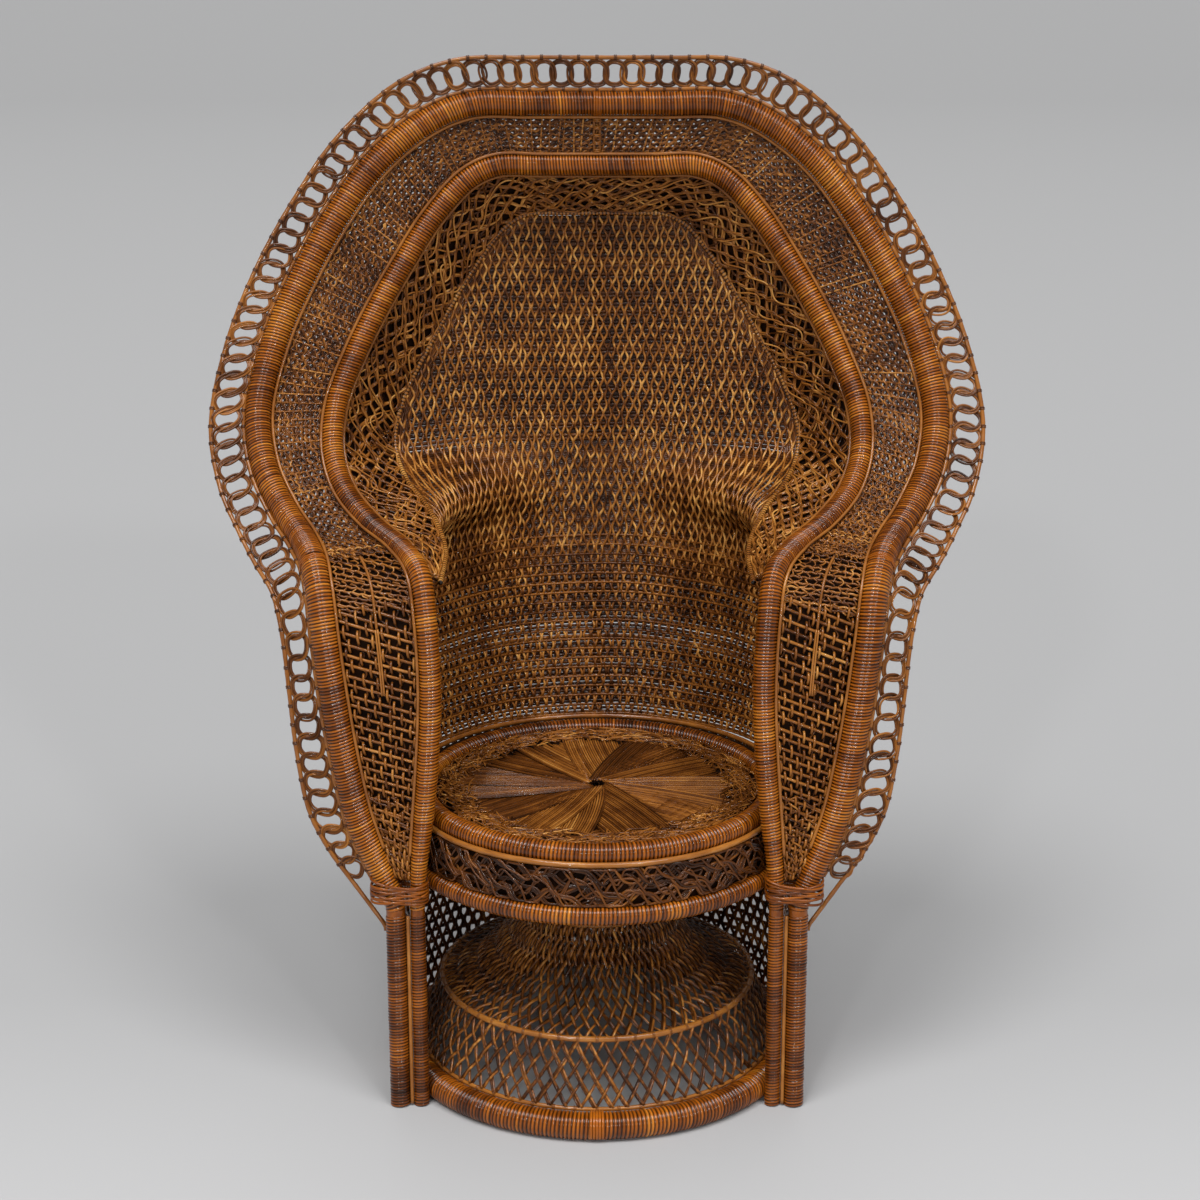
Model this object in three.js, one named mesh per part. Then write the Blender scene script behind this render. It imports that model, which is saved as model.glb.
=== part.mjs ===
import * as THREE from 'three';

// A rattan peacock chair in millimetres, its front toward -Y, +Z up.
// Every place below is worked out from the seat axis, and the group is centred at the end.

// Whole chair
const backHeight = 1464;
const fanHalfWidth = 567;
const backDepth = 345;
const seatHeight = 424;
const clearance = 0.3;

// Base ring and the hourglass pedestal
const baseRingRadius = 284;
const baseRingDiameter = 40;
const baseRingFlatDepth = 0.8;
const baseTrimDiameter = 6.4;
const latticeThickness = 4;
const midRingRadius = 234;
const midRingHeight = 129;
const midRingDiameter = 9;
const waistRadius = 100;
const waistHeight = 245;
const waistRingDiameter = 9;
const flareTopRadius = 204;
const flareTopRingDiameter = 12;
const flareBelly = 14;

// Seat
const seatRingRadius = 255;
const seatRingDiameter = 31;
const seatPanelThickness = 7;
const seatPanelRise = 4;
const seatHoleRadius = 15;
const seatBarDiameter = 18;
const seatBarSpacing = 118;
const seatBarCount = 3;
const seatRodDiameter = 8.8;
const seatRodDrop = 10.1;
const apronRingRadius = 277;
const apronRingDiameter = 27.6;
const apronDrop = 84;
const apronRingHeight = seatHeight - apronDrop;
const apronThickness = 5;

// Front posts and legs
const postHalfSpan = 256;
const postDiameter = 23;
const legDiameter = 29.4;
const legSpacing = 31;
const legRodDiameter = 5.6;
const legRodRise = 4;
const bindingRise = 11;
const bindingHeight = 28;
const bindingTop = apronRingHeight + bindingRise;
const bindingBottom = bindingTop - bindingHeight;
const bindingWall = 3;
const bindingSlack = 1.2;

// Rolls and rods of the back
const innerRollDiameter = 33;
const innerArmRollDiameter = 31;
const outerRollTopDiameter = 36;
const outerRollDiameter = 39;
const armRollDiameter = 41;
const frameRodDiameter = 8;
const trimRodDiameter = 7;
const laceRodDiameter = 6.4;
const armCentreRodDiameter = 4.4;

// Woven walls
const panelThickness = 3.6;
const panelRibHeight = 2.6;
const panelRibWidth = 10;
const bandThickness = 5;
const laceThickness = 5;
const lacePitch = 27;
const laceArmReach = 72.8;
const skirtFootRadius = 311;
const skirtApronRadius = 296;
const skirtTopRadius = 281;
const skirtThickness = 4;
const skirtRodDiameter = 9;
const skirtTopRodDiameter = 8;
const skirtTopRodRise = 12;
const rearPoleDiameter = 18;

// Rail stations, from the centre of the top edge, 0, down one side to the front posts.
// Each row holds shares of the half width, of the depth behind the posts and of the height.
// A height share runs from -1 at the floor through 0 at the seat to 1 at the top.
const laceFanShares = [
  [0.000, 0.858, 1.000], [0.194, 0.858, 1.000], [0.362, 0.858, 0.997], [0.511, 0.847, 0.967],
  [0.671, 0.821, 0.893], [0.785, 0.783, 0.809], [0.885, 0.736, 0.715], [0.964, 0.669, 0.610],
  [1.000, 0.566, 0.503], [0.969, 0.468, 0.425], [0.917, 0.386, 0.376], [0.868, 0.310, 0.340],
  [0.816, 0.235, 0.308],
];
// Beside an arm the first share is of the reach of the lace from the roll within it
const laceArmShares = [
  [0.832, 0.188, 0.282], [0.850, 0.160, 0.245], [0.885, 0.122, 0.171], [0.965, 0.103, 0.095],
  [1.000, 0.084, 0.016], [0.866, 0.065, -0.091], [0.658, 0.050, -0.210], [0.320, 0.027, -0.320],
];
const outerFanShares = [
  [0.000, 0.868, 0.936], [0.177, 0.868, 0.936], [0.326, 0.864, 0.935], [0.440, 0.853, 0.912],
  [0.572, 0.824, 0.857], [0.678, 0.792, 0.783], [0.768, 0.745, 0.699], [0.838, 0.688, 0.615],
  [0.880, 0.605, 0.520], [0.860, 0.518, 0.451], [0.803, 0.433, 0.397], [0.749, 0.348, 0.368],
  [0.711, 0.245, 0.349],
];
const outerArmShares = [
  [0.433, 0.169, 0.315], [0.404, 0.122, 0.257], [0.367, 0.093, 0.176], [0.321, 0.069, 0.094],
  [0.262, 0.050, 0.014], [0.203, 0.033, -0.080], [0.136, 0.015, -0.190],
];
const innerFanShares = [
  [0.000, 0.887, 0.849], [0.150, 0.887, 0.849], [0.263, 0.881, 0.849], [0.340, 0.873, 0.831],
  [0.429, 0.849, 0.781], [0.503, 0.811, 0.721], [0.579, 0.768, 0.652], [0.639, 0.720, 0.587],
  [0.684, 0.666, 0.523], [0.690, 0.594, 0.464], [0.655, 0.509, 0.416], [0.580, 0.405, 0.381],
  [0.489, 0.263, 0.363],
];
const innerArmShares = [
  [-0.025, 0.150, 0.344], [-0.057, 0.093, 0.290], [-0.073, 0.061, 0.196], [-0.060, 0.037, 0.101],
  [-0.035, 0.024, 0.018], [-0.016, 0.010, -0.083], [-0.003, 0.002, -0.204],
];
const frameFanShares = [
  [0.000, 1.000, 0.772], [0.105, 1.000, 0.772], [0.180, 0.994, 0.771], [0.241, 0.987, 0.755],
  [0.321, 0.972, 0.702], [0.392, 0.949, 0.642], [0.456, 0.915, 0.580], [0.514, 0.877, 0.520],
  [0.544, 0.836, 0.466], [0.538, 0.792, 0.432], [0.501, 0.679, 0.406], [0.441, 0.547, 0.385],
  [0.386, 0.349, 0.354],
];
const frameArmShares = [[-0.116, 0.160, 0.332]];
// The straight foot of the roll over a post: the two last height shares of its rail
const footShares = [-0.26, -0.29];
const panelFootShares = [0.29, 0.22, 0.15, 0.08];
const polePanelShares = [0.05, 0.1, 0.2, 0.35, 0.5, 0.65];
// Places down a rail from the centre of its top edge, where one station is the share of one table row
const sectionShares = [
  0, 1, 2, 2.5, 3, 3.5, 4, 5, 6, 7, 7.5, 8, 8.5, 9, 10, 11, 11.5, 12, 12.5, 13,
  14, 15, 16, 17, 18, 19, 20, 21,
];
const panelTopShare = 2;
const panelNextShare = 3;
const fullRollShare = 5;
const armRollStartShare = 11;
const elbowShare = 12;
const laceSplitShare = 12.5;
const frameEndShare = 13;
const armRollFullShare = 14;
const armCentreTopShare = 14;
const armCentreEndShare = 15;
const innerFootStartShare = 16;
const outerFootStartShare = 17;
const armRodEndShare = 18;
const laceNetEndShare = 18.6;
const armPanelEndShare = 18.7;
const innerFootFullShare = 19;
const outerFootFullShare = 20;

// Number of flat sides
const ringSegments = 30;
const wideSides = 8;
const narrowSides = 5;
const panelRibCount = 10;
const skirtSegments = 24;
// The corners of the base ring's section from its flat to the one that its trim rod lies on
const baseTrimCornerCount = 5;

const radiusOf = (diameter) => diameter / 2;
const postPlace = baseRingRadius + radiusOf(baseRingDiameter) + clearance + radiusOf(postDiameter);
const postDepth = -Math.sqrt(postPlace ** 2 - postHalfSpan ** 2);
const postHeight = heightAt(footShares[1]);

const chair = new THREE.Group();

function heightAt(share) {
  return share < 0 ? seatHeight * (1 + share) : seatHeight + share * (backHeight - seatHeight);
}

function depthAt(share) {
  return postDepth + share * (backDepth - postDepth);
}

function shareOf(from, to, share) {
  return from + share * (to - from);
}

// Makes a closed mesh face out, whichever way its outline was drawn
function faceOut(geometry) {
  const solid = geometry.index ? geometry.toNonIndexed() : geometry;
  const places = solid.getAttribute('position');
  const corners = [new THREE.Vector3(), new THREE.Vector3(), new THREE.Vector3()];
  const cross = new THREE.Vector3();
  let volume = 0;
  for (let i = 0; i < places.count; i += 3) {
    corners.forEach((corner, k) => corner.fromBufferAttribute(places, i + k));
    volume += corners[0].dot(cross.crossVectors(corners[1], corners[2]));
  }
  if (volume < 0) {
    for (let i = 0; i < places.count; i += 3) {
      corners[1].fromBufferAttribute(places, i + 1);
      corners[2].fromBufferAttribute(places, i + 2);
      places.setXYZ(i + 1, corners[2].x, corners[2].y, corners[2].z);
      places.setXYZ(i + 2, corners[1].x, corners[1].y, corners[1].z);
    }
  }
  solid.computeVertexNormals();
  return solid;
}

function addPiece(name, geometry, colour, roughness = 0.42) {
  const material = new THREE.MeshStandardMaterial({ color: colour, roughness, metalness: 0 });
  const mesh = new THREE.Mesh(faceOut(geometry), material);
  mesh.name = name;
  chair.add(mesh);
}

function geometryOf(points, triangles) {
  const geometry = new THREE.BufferGeometry();
  geometry.setAttribute('position', new THREE.Float32BufferAttribute(points.flatMap((p) => p.toArray()), 3));
  geometry.setIndex(triangles);
  return geometry;
}

// Joins a row of equal closed outlines into one solid and closes both of its ends.
// The two halves of an outline are cut along the same diagonals, so a twisted wall keeps its thickness.
function loft(outlines) {
  const count = outlines[0].length;
  const triangles = [];
  for (let row = 0; row + 1 < outlines.length; row += 1) {
    for (let i = 0; i < count; i += 1) {
      const a = row * count + i;
      const b = row * count + (i + 1) % count;
      if (i < count / 2) triangles.push(a, b, b + count, a, b + count, a + count);
      else triangles.push(a, b, a + count, b, b + count, a + count);
    }
  }
  closeEnd(triangles, 0, count, true);
  closeEnd(triangles, (outlines.length - 1) * count, count, false);
  return geometryOf(outlines.flat(), triangles);
}

// Closes an end as a ladder between the outline's first half and its second
function closeEnd(triangles, first, count, turned) {
  for (let i = 0; i < count / 2 - 1; i += 1) {
    const a = first + i;
    const b = first + i + 1;
    const c = first + count - 2 - i;
    const d = first + count - 1 - i;
    if (i + 1 < count - 2 - i) triangles.push(...(turned ? [a, c, b] : [a, b, c]));
    triangles.push(...(turned ? [a, d, c] : [a, c, d]));
  }
}

// Turns a closed profile of [radius, height] corners round the seat axis, a corner facing each post
function revolve(profile) {
  const corners = [...profile, profile[0]].map(([radius, height]) => new THREE.Vector2(radius, height));
  return new THREE.LatheGeometry(corners, ringSegments, Math.PI / ringSegments).rotateX(Math.PI / 2);
}

function circleProfile(radius, height, sectionRadius, sides, turn = 0) {
  return Array.from({ length: sides }, (_, i) => {
    const angle = turn + (i / sides) * 2 * Math.PI;
    return [radius + sectionRadius * Math.cos(angle), height + sectionRadius * Math.sin(angle)];
  });
}

// A thin wall through [radius, height] points, as a closed profile
function wallProfile(points, thickness) {
  const offset = (side) => points.map(([radius, height], i) => {
    const [r, h] = wallNormal(points[Math.max(i - 1, 0)], points[Math.min(i + 1, points.length - 1)]);
    return [radius + side * radiusOf(thickness) * r, height + side * radiusOf(thickness) * h];
  });
  return [...offset(1), ...offset(-1).reverse()];
}

function wallNormal([r0, h0], [r1, h1]) {
  const length = Math.hypot(r1 - r0, h1 - h0);
  return [(h1 - h0) / length, (r0 - r1) / length];
}

// The profile of a wall that stands on one ring with its nearest corner and meets another with its far one
function standingWall(points, thickness) {
  const last = points.length - 1;
  const lean = Math.sign(points[last][0] - points[0][0]) * radiusOf(thickness);
  const [r0, h0] = wallNormal(points[0], points[1]);
  const [r1, h1] = wallNormal(points[last - 1], points[last]);
  const foot = [points[0][0] - lean * r0, points[0][1] - lean * h0];
  const head = [points[last][0] + lean * r1, points[last][1] + lean * h1];
  return wallProfile([foot, ...points.slice(1, last), head], thickness);
}

// The sections of a round bar along a path, in a frame carried along so that it never twists
function barSections(path, radius, sides, tangents = path.map((_, i) => tangentAt(path, i))) {
  const side = new THREE.Vector3(0, 0, 1).cross(tangents[0]);
  if (side.length() < 0.1) side.set(1, 0, 0);
  return path.map((point, i) => {
    const along = tangents[i];
    side.addScaledVector(along, -side.dot(along)).normalize();
    const other = new THREE.Vector3().crossVectors(along, side);
    return Array.from({ length: sides }, (_, k) => {
      const angle = (k / sides) * 2 * Math.PI;
      return point.clone()
        .addScaledVector(side, valueAt(radius, i) * Math.cos(angle))
        .addScaledVector(other, valueAt(radius, i) * Math.sin(angle));
    });
  });
}

function bar(path, radius, sides) {
  return loft(barSections(path, radius, sides));
}

function tangentAt(path, i) {
  const back = path[i].clone().sub(path[Math.max(i - 1, 0)]).normalize();
  const ahead = path[Math.min(i + 1, path.length - 1)].clone().sub(path[i]).normalize();
  return back.add(ahead).normalize();
}

function fanPoint([x, y, z]) {
  return new THREE.Vector3(x * fanHalfWidth, depthAt(y), heightAt(z));
}

function armPoint([x, y, z]) {
  return new THREE.Vector3(shareOf(postHalfSpan, fanHalfWidth, x), depthAt(y), heightAt(z));
}

function footPoints(offset) {
  return footShares.map((share) => new THREE.Vector3(postHalfSpan + offset, postDepth, heightAt(share)));
}

// A rail runs from the left post over the top to the right post, through mirrored stations
function makeRail(fanShares, armPoints) {
  const right = [...fanShares.map(fanPoint), ...armPoints];
  const left = right.slice(1).reverse().map((p) => new THREE.Vector3(-p.x, p.y, p.z));
  const curve = new THREE.CatmullRomCurve3([...left, ...right], false, 'centripetal');
  const last = right.length - 1;
  const half = sectionShares.filter((station) => station <= last);
  const stations = [...half.slice(1).reverse().map((station) => -station), ...half];
  const points = stations.map((station) => curve.getPoint((station + last) / (2 * last)));
  return { stations, points };
}

const outerArmPoints = [...outerArmShares.map(armPoint), ...footPoints(legSpacing)];
const laceArmPoints = laceArmShares.map(([x, y, z], i) => new THREE.Vector3(
  outerArmPoints[i].x + x * laceArmReach,
  depthAt(y),
  heightAt(z),
));
const laceRail = makeRail(laceFanShares, laceArmPoints);
const outerRail = makeRail(outerFanShares, outerArmPoints);
const innerRail = makeRail(innerFanShares, [...innerArmShares.map(armPoint), ...footPoints(0)]);
const frameRail = makeRail(frameFanShares, frameArmShares.map(armPoint));

// A place on a rail or on any path that has a point for each of its stations
function placeAt(rail, station) {
  const { stations, points } = rail;
  let i = 0;
  while (i + 2 < stations.length && stations[i + 1] <= station) i += 1;
  const share = (station - stations[i]) / (stations[i + 1] - stations[i]);
  return points[i].clone().lerp(points[i + 1], share);
}

function stationsBetween(from, to) {
  const half = [...sectionShares.slice(1).reverse().map((station) => -station), ...sectionShares];
  const inside = half.filter((station) => station > from && station < to);
  return [from, ...inside, to];
}

function alongRail(rail, station) {
  const i = Math.max(rail.stations.findIndex((value) => value >= station), 0);
  if (rail.stations[i] === station) return tangentAt(rail.points, i);
  return rail.points[i].clone().sub(rail.points[i - 1]).normalize();
}

// The frame of a rail: along it, across it away from the seat, and out of the woven face
function frameAt(rail, inner, outer, station) {
  const along = alongRail(rail, station);
  const across = placeAt(outer, station).sub(placeAt(inner, station));
  across.addScaledVector(along, -across.dot(along)).normalize();
  const front = new THREE.Vector3().crossVectors(along, across);
  return { along, across, front };
}

// A path beside a rail, at a distance across the woven face and another out of it
function besideRail(rail, inner, outer, stations, across, front) {
  const points = stations.map((station) => {
    const frame = frameAt(rail, inner, outer, station);
    return placeAt(rail, station)
      .addScaledVector(frame.across, valueAt(across, station))
      .addScaledVector(frame.front, valueAt(front, station));
  });
  return { stations, points };
}

function valueAt(value, station) {
  return typeof value === 'function' ? value(station) : value;
}

function innerRollRadius(station) {
  const reach = Math.abs(station);
  if (reach <= elbowShare) return radiusOf(innerRollDiameter);
  const armShare = Math.min((reach - elbowShare) / (armRollFullShare - elbowShare), 1);
  const arm = shareOf(innerRollDiameter, innerArmRollDiameter, armShare);
  const footShare = THREE.MathUtils.smoothstep(reach, innerFootStartShare, innerFootFullShare);
  return radiusOf(shareOf(arm, postDiameter, footShare));
}

function outerRollRadius(station) {
  const reach = Math.abs(station);
  const topShare = Math.min(reach / fullRollShare, 1);
  const top = shareOf(outerRollTopDiameter, outerRollDiameter, topShare);
  const armShare = THREE.MathUtils.smoothstep(reach, armRollStartShare, armRollFullShare);
  const arm = shareOf(top, armRollDiameter, armShare);
  const footShare = THREE.MathUtils.smoothstep(reach, outerFootStartShare, outerFootFullShare);
  return radiusOf(shareOf(arm, legDiameter, footShare));
}

// How far a trim rod stands across and out of a band, when it touches both roll and band
function trimOffsets(rollRadius) {
  const reach = (station) => rollRadius(station) + radiusOf(trimRodDiameter) + clearance;
  const rise = radiusOf(trimRodDiameter) + radiusOf(bandThickness) + 4 * clearance;
  return { across: (station) => Math.sqrt(reach(station) ** 2 - rise ** 2), front: rise };
}

const honey = 0x8a4f1e;
const amber = 0x9c5f26;
const brown = 0x6b3a17;
const darkBrown = 0x4a2611;

// Base and pedestal

const baseRingSection = radiusOf(baseRingDiameter);
const baseRingCentre = baseRingSection - baseRingFlatDepth;
const baseRingFlatTurn = Math.asin(baseRingCentre / baseRingSection);

// The turn of one corner of the ring's section, which is a circle with a worn flat under it
function baseRingTurn(corner) {
  return shareOf(-baseRingFlatTurn, Math.PI + baseRingFlatTurn, corner / wideSides);
}

function baseTrimPlace() {
  const turn = baseRingTurn(baseTrimCornerCount);
  const reach = baseRingSection + radiusOf(baseTrimDiameter) + clearance;
  return [baseRingRadius + reach * Math.cos(turn), baseRingCentre + reach * Math.sin(turn)];
}

function addBase() {
  const section = Array.from({ length: wideSides + 1 }, (_, i) => [
    baseRingRadius + baseRingSection * Math.cos(baseRingTurn(i)),
    baseRingCentre + baseRingSection * Math.sin(baseRingTurn(i)),
  ]);
  const trim = circleProfile(
    ...baseTrimPlace(), radiusOf(baseTrimDiameter), narrowSides + 1, baseRingTurn(baseTrimCornerCount),
  );
  addPiece('base_ring', revolve(section), honey);
  addPiece('base_ring_trim_rod', revolve(trim), amber);
}

// Points of an hourglass wall between two rings, drawn in from the straight line at its middle
function wallPoints(lower, upper, belly, steps) {
  return Array.from({ length: steps + 1 }, (_, i) => {
    const share = i / steps;
    const inset = belly * Math.sin(Math.PI * share);
    return [shareOf(lower[0], upper[0], share) - inset, shareOf(lower[1], upper[1], share) - inset];
  });
}

// The edges of a lattice wall at the corners of the two rings that it stands between
function latticeEdges(points) {
  const [footOut, headOut, headIn, footIn] = standingWall(points, latticeThickness);
  return Array.from({ length: ringSegments }, (_, i) => {
    const turn = ((i + 0.5) / ringSegments) * 2 * Math.PI;
    const at = ([radius, height]) => aroundBack(radius, height, Math.PI - turn);
    return {
      low: at(footOut).lerp(at(footIn), 0.5),
      high: at(headOut).lerp(at(headIn), 0.5),
      front: at(footOut).sub(at(footIn)).normalize(),
    };
  });
}

function addPedestal() {
  const [trimRadius, trimHeight] = baseTrimPlace();
  const flareTop = seatBarHeight() - radiusOf(seatBarDiameter) - clearance - radiusOf(flareTopRingDiameter);
  const above = (diameter) => radiusOf(diameter) + clearance;
  const lower = wallPoints(
    [trimRadius, trimHeight + above(baseTrimDiameter)],
    [midRingRadius, midRingHeight - above(midRingDiameter)],
    0,
    1,
  );
  const upper = wallPoints(
    [midRingRadius, midRingHeight + above(midRingDiameter)],
    [waistRadius, waistHeight - above(waistRingDiameter)],
    flareBelly,
    3,
  );
  const flare = wallPoints(
    [waistRadius, waistHeight + above(waistRingDiameter)],
    [flareTopRadius, flareTop - above(flareTopRingDiameter)],
    0,
    1,
  );
  const net = netOf(latticeEdges(lower), diamondGap, latticeThickness, true);
  addPiece('pedestal_lower_lattice', net, brown);
  addPiece('pedestal_middle_ring', ringAt(midRingRadius, midRingHeight, midRingDiameter), amber);
  addPiece('pedestal_upper_lattice', revolve(standingWall(upper, latticeThickness)), brown);
  addPiece('pedestal_waist_ring', ringAt(waistRadius, waistHeight, waistRingDiameter), brown);
  addPiece('pedestal_top_flare', revolve(standingWall(flare, latticeThickness)), darkBrown);
  addPiece('pedestal_top_ring', ringAt(flareTopRadius, flareTop, flareTopRingDiameter), brown);
}

// A slim ring whose section has corners right at its top and bottom
function ringAt(radius, height, diameter) {
  return revolve(circleProfile(radius, height, radiusOf(diameter), narrowSides + 1, Math.PI / 6));
}

// Seat

function seatPanelBottom() {
  return seatHeight + seatPanelRise - radiusOf(seatPanelThickness);
}

function seatBarHeight() {
  return seatPanelBottom() - clearance - radiusOf(seatBarDiameter);
}

// The seat ring's inner radius at a height
function seatRingInside(height) {
  return seatRingRadius - Math.sqrt(radiusOf(seatRingDiameter) ** 2 - (height - seatHeight) ** 2);
}

function seatRodPlace() {
  const reach = radiusOf(seatRingDiameter) + radiusOf(seatRodDiameter) + clearance;
  return [seatRingRadius + Math.sqrt(reach ** 2 - seatRodDrop ** 2), seatHeight - seatRodDrop];
}

function addSeat() {
  const ring = circleProfile(seatRingRadius, seatHeight, radiusOf(seatRingDiameter), 2 * (narrowSides + 1));
  const rim = seatRingInside(seatHeight) - clearance;
  const bottom = seatPanelBottom();
  const top = bottom + seatPanelThickness;
  const [rodRadius, rodHeight] = seatRodPlace();
  const apron = circleProfile(apronRingRadius, apronRingHeight, radiusOf(apronRingDiameter), wideSides);
  const weave = [
    [apronRingRadius, apronRingHeight + radiusOf(apronRingDiameter) + clearance],
    [rodRadius, rodHeight - radiusOf(seatRodDiameter) - clearance],
  ];
  addPiece('seat_ring', revolve(ring), honey);
  const panel = [[seatHoleRadius, bottom], [rim, bottom], [rim, top], [seatHoleRadius, top]];
  addPiece('seat_panel', revolve(panel), amber);
  addPiece('seat_trim_rod', ringAt(rodRadius, rodHeight, seatRodDiameter), amber);
  addPiece('apron_ring', revolve(apron), honey);
  addPiece('apron_weave', revolve(standingWall(weave, apronThickness)), darkBrown);
  addSeatBars();
}

function addSeatBars() {
  const height = seatBarHeight();
  const top = height + radiusOf(seatBarDiameter);
  const inside = (seatRingInside(top) - clearance) * Math.cos(Math.PI / ringSegments);
  for (let i = 0; i < seatBarCount; i += 1) {
    const depth = (i - (seatBarCount - 1) / 2) * seatBarSpacing;
    const reach = Math.sqrt(inside ** 2 - (Math.abs(depth) + radiusOf(seatBarDiameter)) ** 2);
    const path = [new THREE.Vector3(-reach, depth, height), new THREE.Vector3(reach, depth, height)];
    addPiece(`seat_bar_${i + 1}`, bar(path, radiusOf(seatBarDiameter), wideSides), brown);
  }
}

// Back

// The seat rod behind the ring carries the wall, and the wall's rows are arcs of circles
const skirtTopHeight = seatHeight + skirtTopRodRise;

function panelBackDepth(height) {
  const share = (height - skirtTopHeight) / (heightAt(frameFanShares[0][2]) - skirtTopHeight);
  return shareOf(skirtTopRadius, backDepth, Math.sin((share * Math.PI) / 2));
}

// The arc of a circle that one row of the woven panel follows, through both edge points and its back
function rowArc(edge) {
  const back = panelBackDepth(edge.z);
  const sag = Math.max(back - edge.y, clearance);
  const end = 2 * Math.atan(sag / edge.x);
  return { back, end, radius: edge.x / Math.sin(end) };
}

// A row's section: a thin wall with low ribs on both faces, where its stoutest canes climb
function panelRow(edge, inset) {
  const { back, end, radius } = rowArc(edge);
  const reach = end - inset / radius;
  const half = panelRibWidth / 2 / radius;
  const middles = Array.from({ length: panelRibCount }, (_, i) => ((2 * i + 1) / panelRibCount - 1) * reach);
  const side = (face) => {
    const at = (turn, rise) => {
      const place = radius + face * (radiusOf(panelThickness) + rise);
      return new THREE.Vector3(place * Math.sin(turn), back - radius + place * Math.cos(turn), edge.z);
    };
    const ribs = middles.flatMap((turn) => [
      at(turn - half, 0), at(turn, panelRibHeight), at(turn + half, 0),
    ]);
    return [at(-reach, 0), ...ribs, at(reach, 0)];
  };
  return [...side(-1), ...side(1).reverse()];
}

// Beside a sloping rod a level row has to stop sooner to keep clear of it
function rowBesideRod(station) {
  const edge = placeAt(frameRail, station);
  const { end } = rowArc(edge);
  const row = new THREE.Vector3(Math.cos(end), -Math.sin(end), 0);
  const along = alongRail(frameRail, station);
  const corner = Math.abs(along.x * row.y - along.y * row.x) * radiusOf(panelThickness);
  const slope = row.cross(along).length();
  return panelRow(edge, (radiusOf(frameRodDiameter) + 4 * clearance + corner) / slope);
}

function addPanel() {
  const topEdge = placeAt(frameRail, panelTopShare);
  topEdge.z -= radiusOf(frameRodDiameter) + 2 * clearance;
  const footHeight = skirtTopHeight + radiusOf(skirtTopRodDiameter) + clearance;
  addPiece('back_panel', loft([
    panelRow(topEdge, 0),
    ...stationsBetween(panelNextShare, frameEndShare).map(rowBesideRod),
    ...[...panelFootShares.map(heightAt), footHeight].map(rowBesideRoll),
  ]), brown);
}

// Below the elbow a row aims at the middle of the inner roll and stops at its surface
function rowBesideRoll(height) {
  const { place, radius } = rollAtHeight(innerRail, innerRollRadius, height);
  return panelRow(place, radius + 10 * clearance);
}

// The place and size of a roll where it crosses a height above its foot
function rollAtHeight(rail, radius, height) {
  const stations = stationsBetween(frameEndShare, rail.stations[rail.stations.length - 1]);
  const i = stations.findIndex((station) => placeAt(rail, station).z <= height);
  const high = placeAt(rail, stations[i - 1]);
  const low = placeAt(rail, stations[i]);
  const share = (high.z - height) / (high.z - low.z);
  const lean = Math.abs(low.clone().sub(high).normalize().z);
  const station = shareOf(stations[i - 1], stations[i], share);
  return { place: high.lerp(low, share), radius: radius(station) / lean };
}

// The sections of a round bar on a rail between two stations, square to the rail at both ends
function railSections(rail, radius, from, to, sides) {
  const stations = stationsBetween(from, to);
  const path = stations.map((station) => placeAt(rail, station));
  const tangents = stations.map((station) => alongRail(rail, station));
  return barSections(path, (i) => valueAt(radius, stations[i]), sides, tangents);
}

// A woven wall between two rails, each edge held clear of its roll
function bandSections(inner, outer, innerReach, outerReach, from, to) {
  return stationsBetween(from, to).map((station) => {
    const low = edgePlace(inner, outer, inner, station, innerReach, 1);
    const high = edgePlace(inner, outer, outer, station, outerReach, -1);
    const half = radiusOf(bandThickness);
    return [
      low.place.clone().addScaledVector(low.front, half),
      high.place.clone().addScaledVector(high.front, half),
      high.place.clone().addScaledVector(high.front, -half),
      low.place.clone().addScaledVector(low.front, -half),
    ];
  });
}

// Draws the first section of an arm's piece a little past its joint with the fan
function pastJoint(sections, side, rail, station) {
  const gap = alongRail(rail, side * station).multiplyScalar(side * clearance);
  const first = side > 0 ? sections[0] : sections[sections.length - 1];
  first.forEach((corner) => corner.add(gap));
  return sections;
}

function edgePlace(inner, outer, rail, station, reach, side) {
  const { along, front } = frameAt(rail, inner, outer, station);
  const line = placeAt(outer, station).sub(placeAt(inner, station)).normalize();
  const lean = new THREE.Vector3().crossVectors(line, along).length();
  const shift = (side * (valueAt(reach, station) + 3 * clearance)) / lean;
  return { place: placeAt(rail, station).addScaledVector(line, shift), front };
}

function addRails() {
  const frameRadius = radiusOf(frameRodDiameter);
  const foot = innerRail.stations[innerRail.stations.length - 1];
  const roll = (name, rail, radius, end, colour, sides) => {
    addPiece(name, loft(railSections(rail, radius, -end, end, sides)), colour);
  };
  const band = (name, inner, outer, innerReach, outerReach, end, colour) => {
    addPiece(name, loft(bandSections(inner, outer, innerReach, outerReach, -end, end)), colour);
  };
  roll('back_inner_roll', innerRail, innerRollRadius, foot, honey, wideSides);
  roll('back_outer_roll', outerRail, outerRollRadius, elbowShare, honey, wideSides);
  roll('back_frame_rod', frameRail, frameRadius, frameEndShare, amber, narrowSides + 1);
  band('back_middle_band', frameRail, innerRail, frameRadius, innerRollRadius, frameEndShare, darkBrown);
  band('back_outer_band', innerRail, outerRail, innerRollRadius, outerRollRadius, elbowShare, brown);
}

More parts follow.
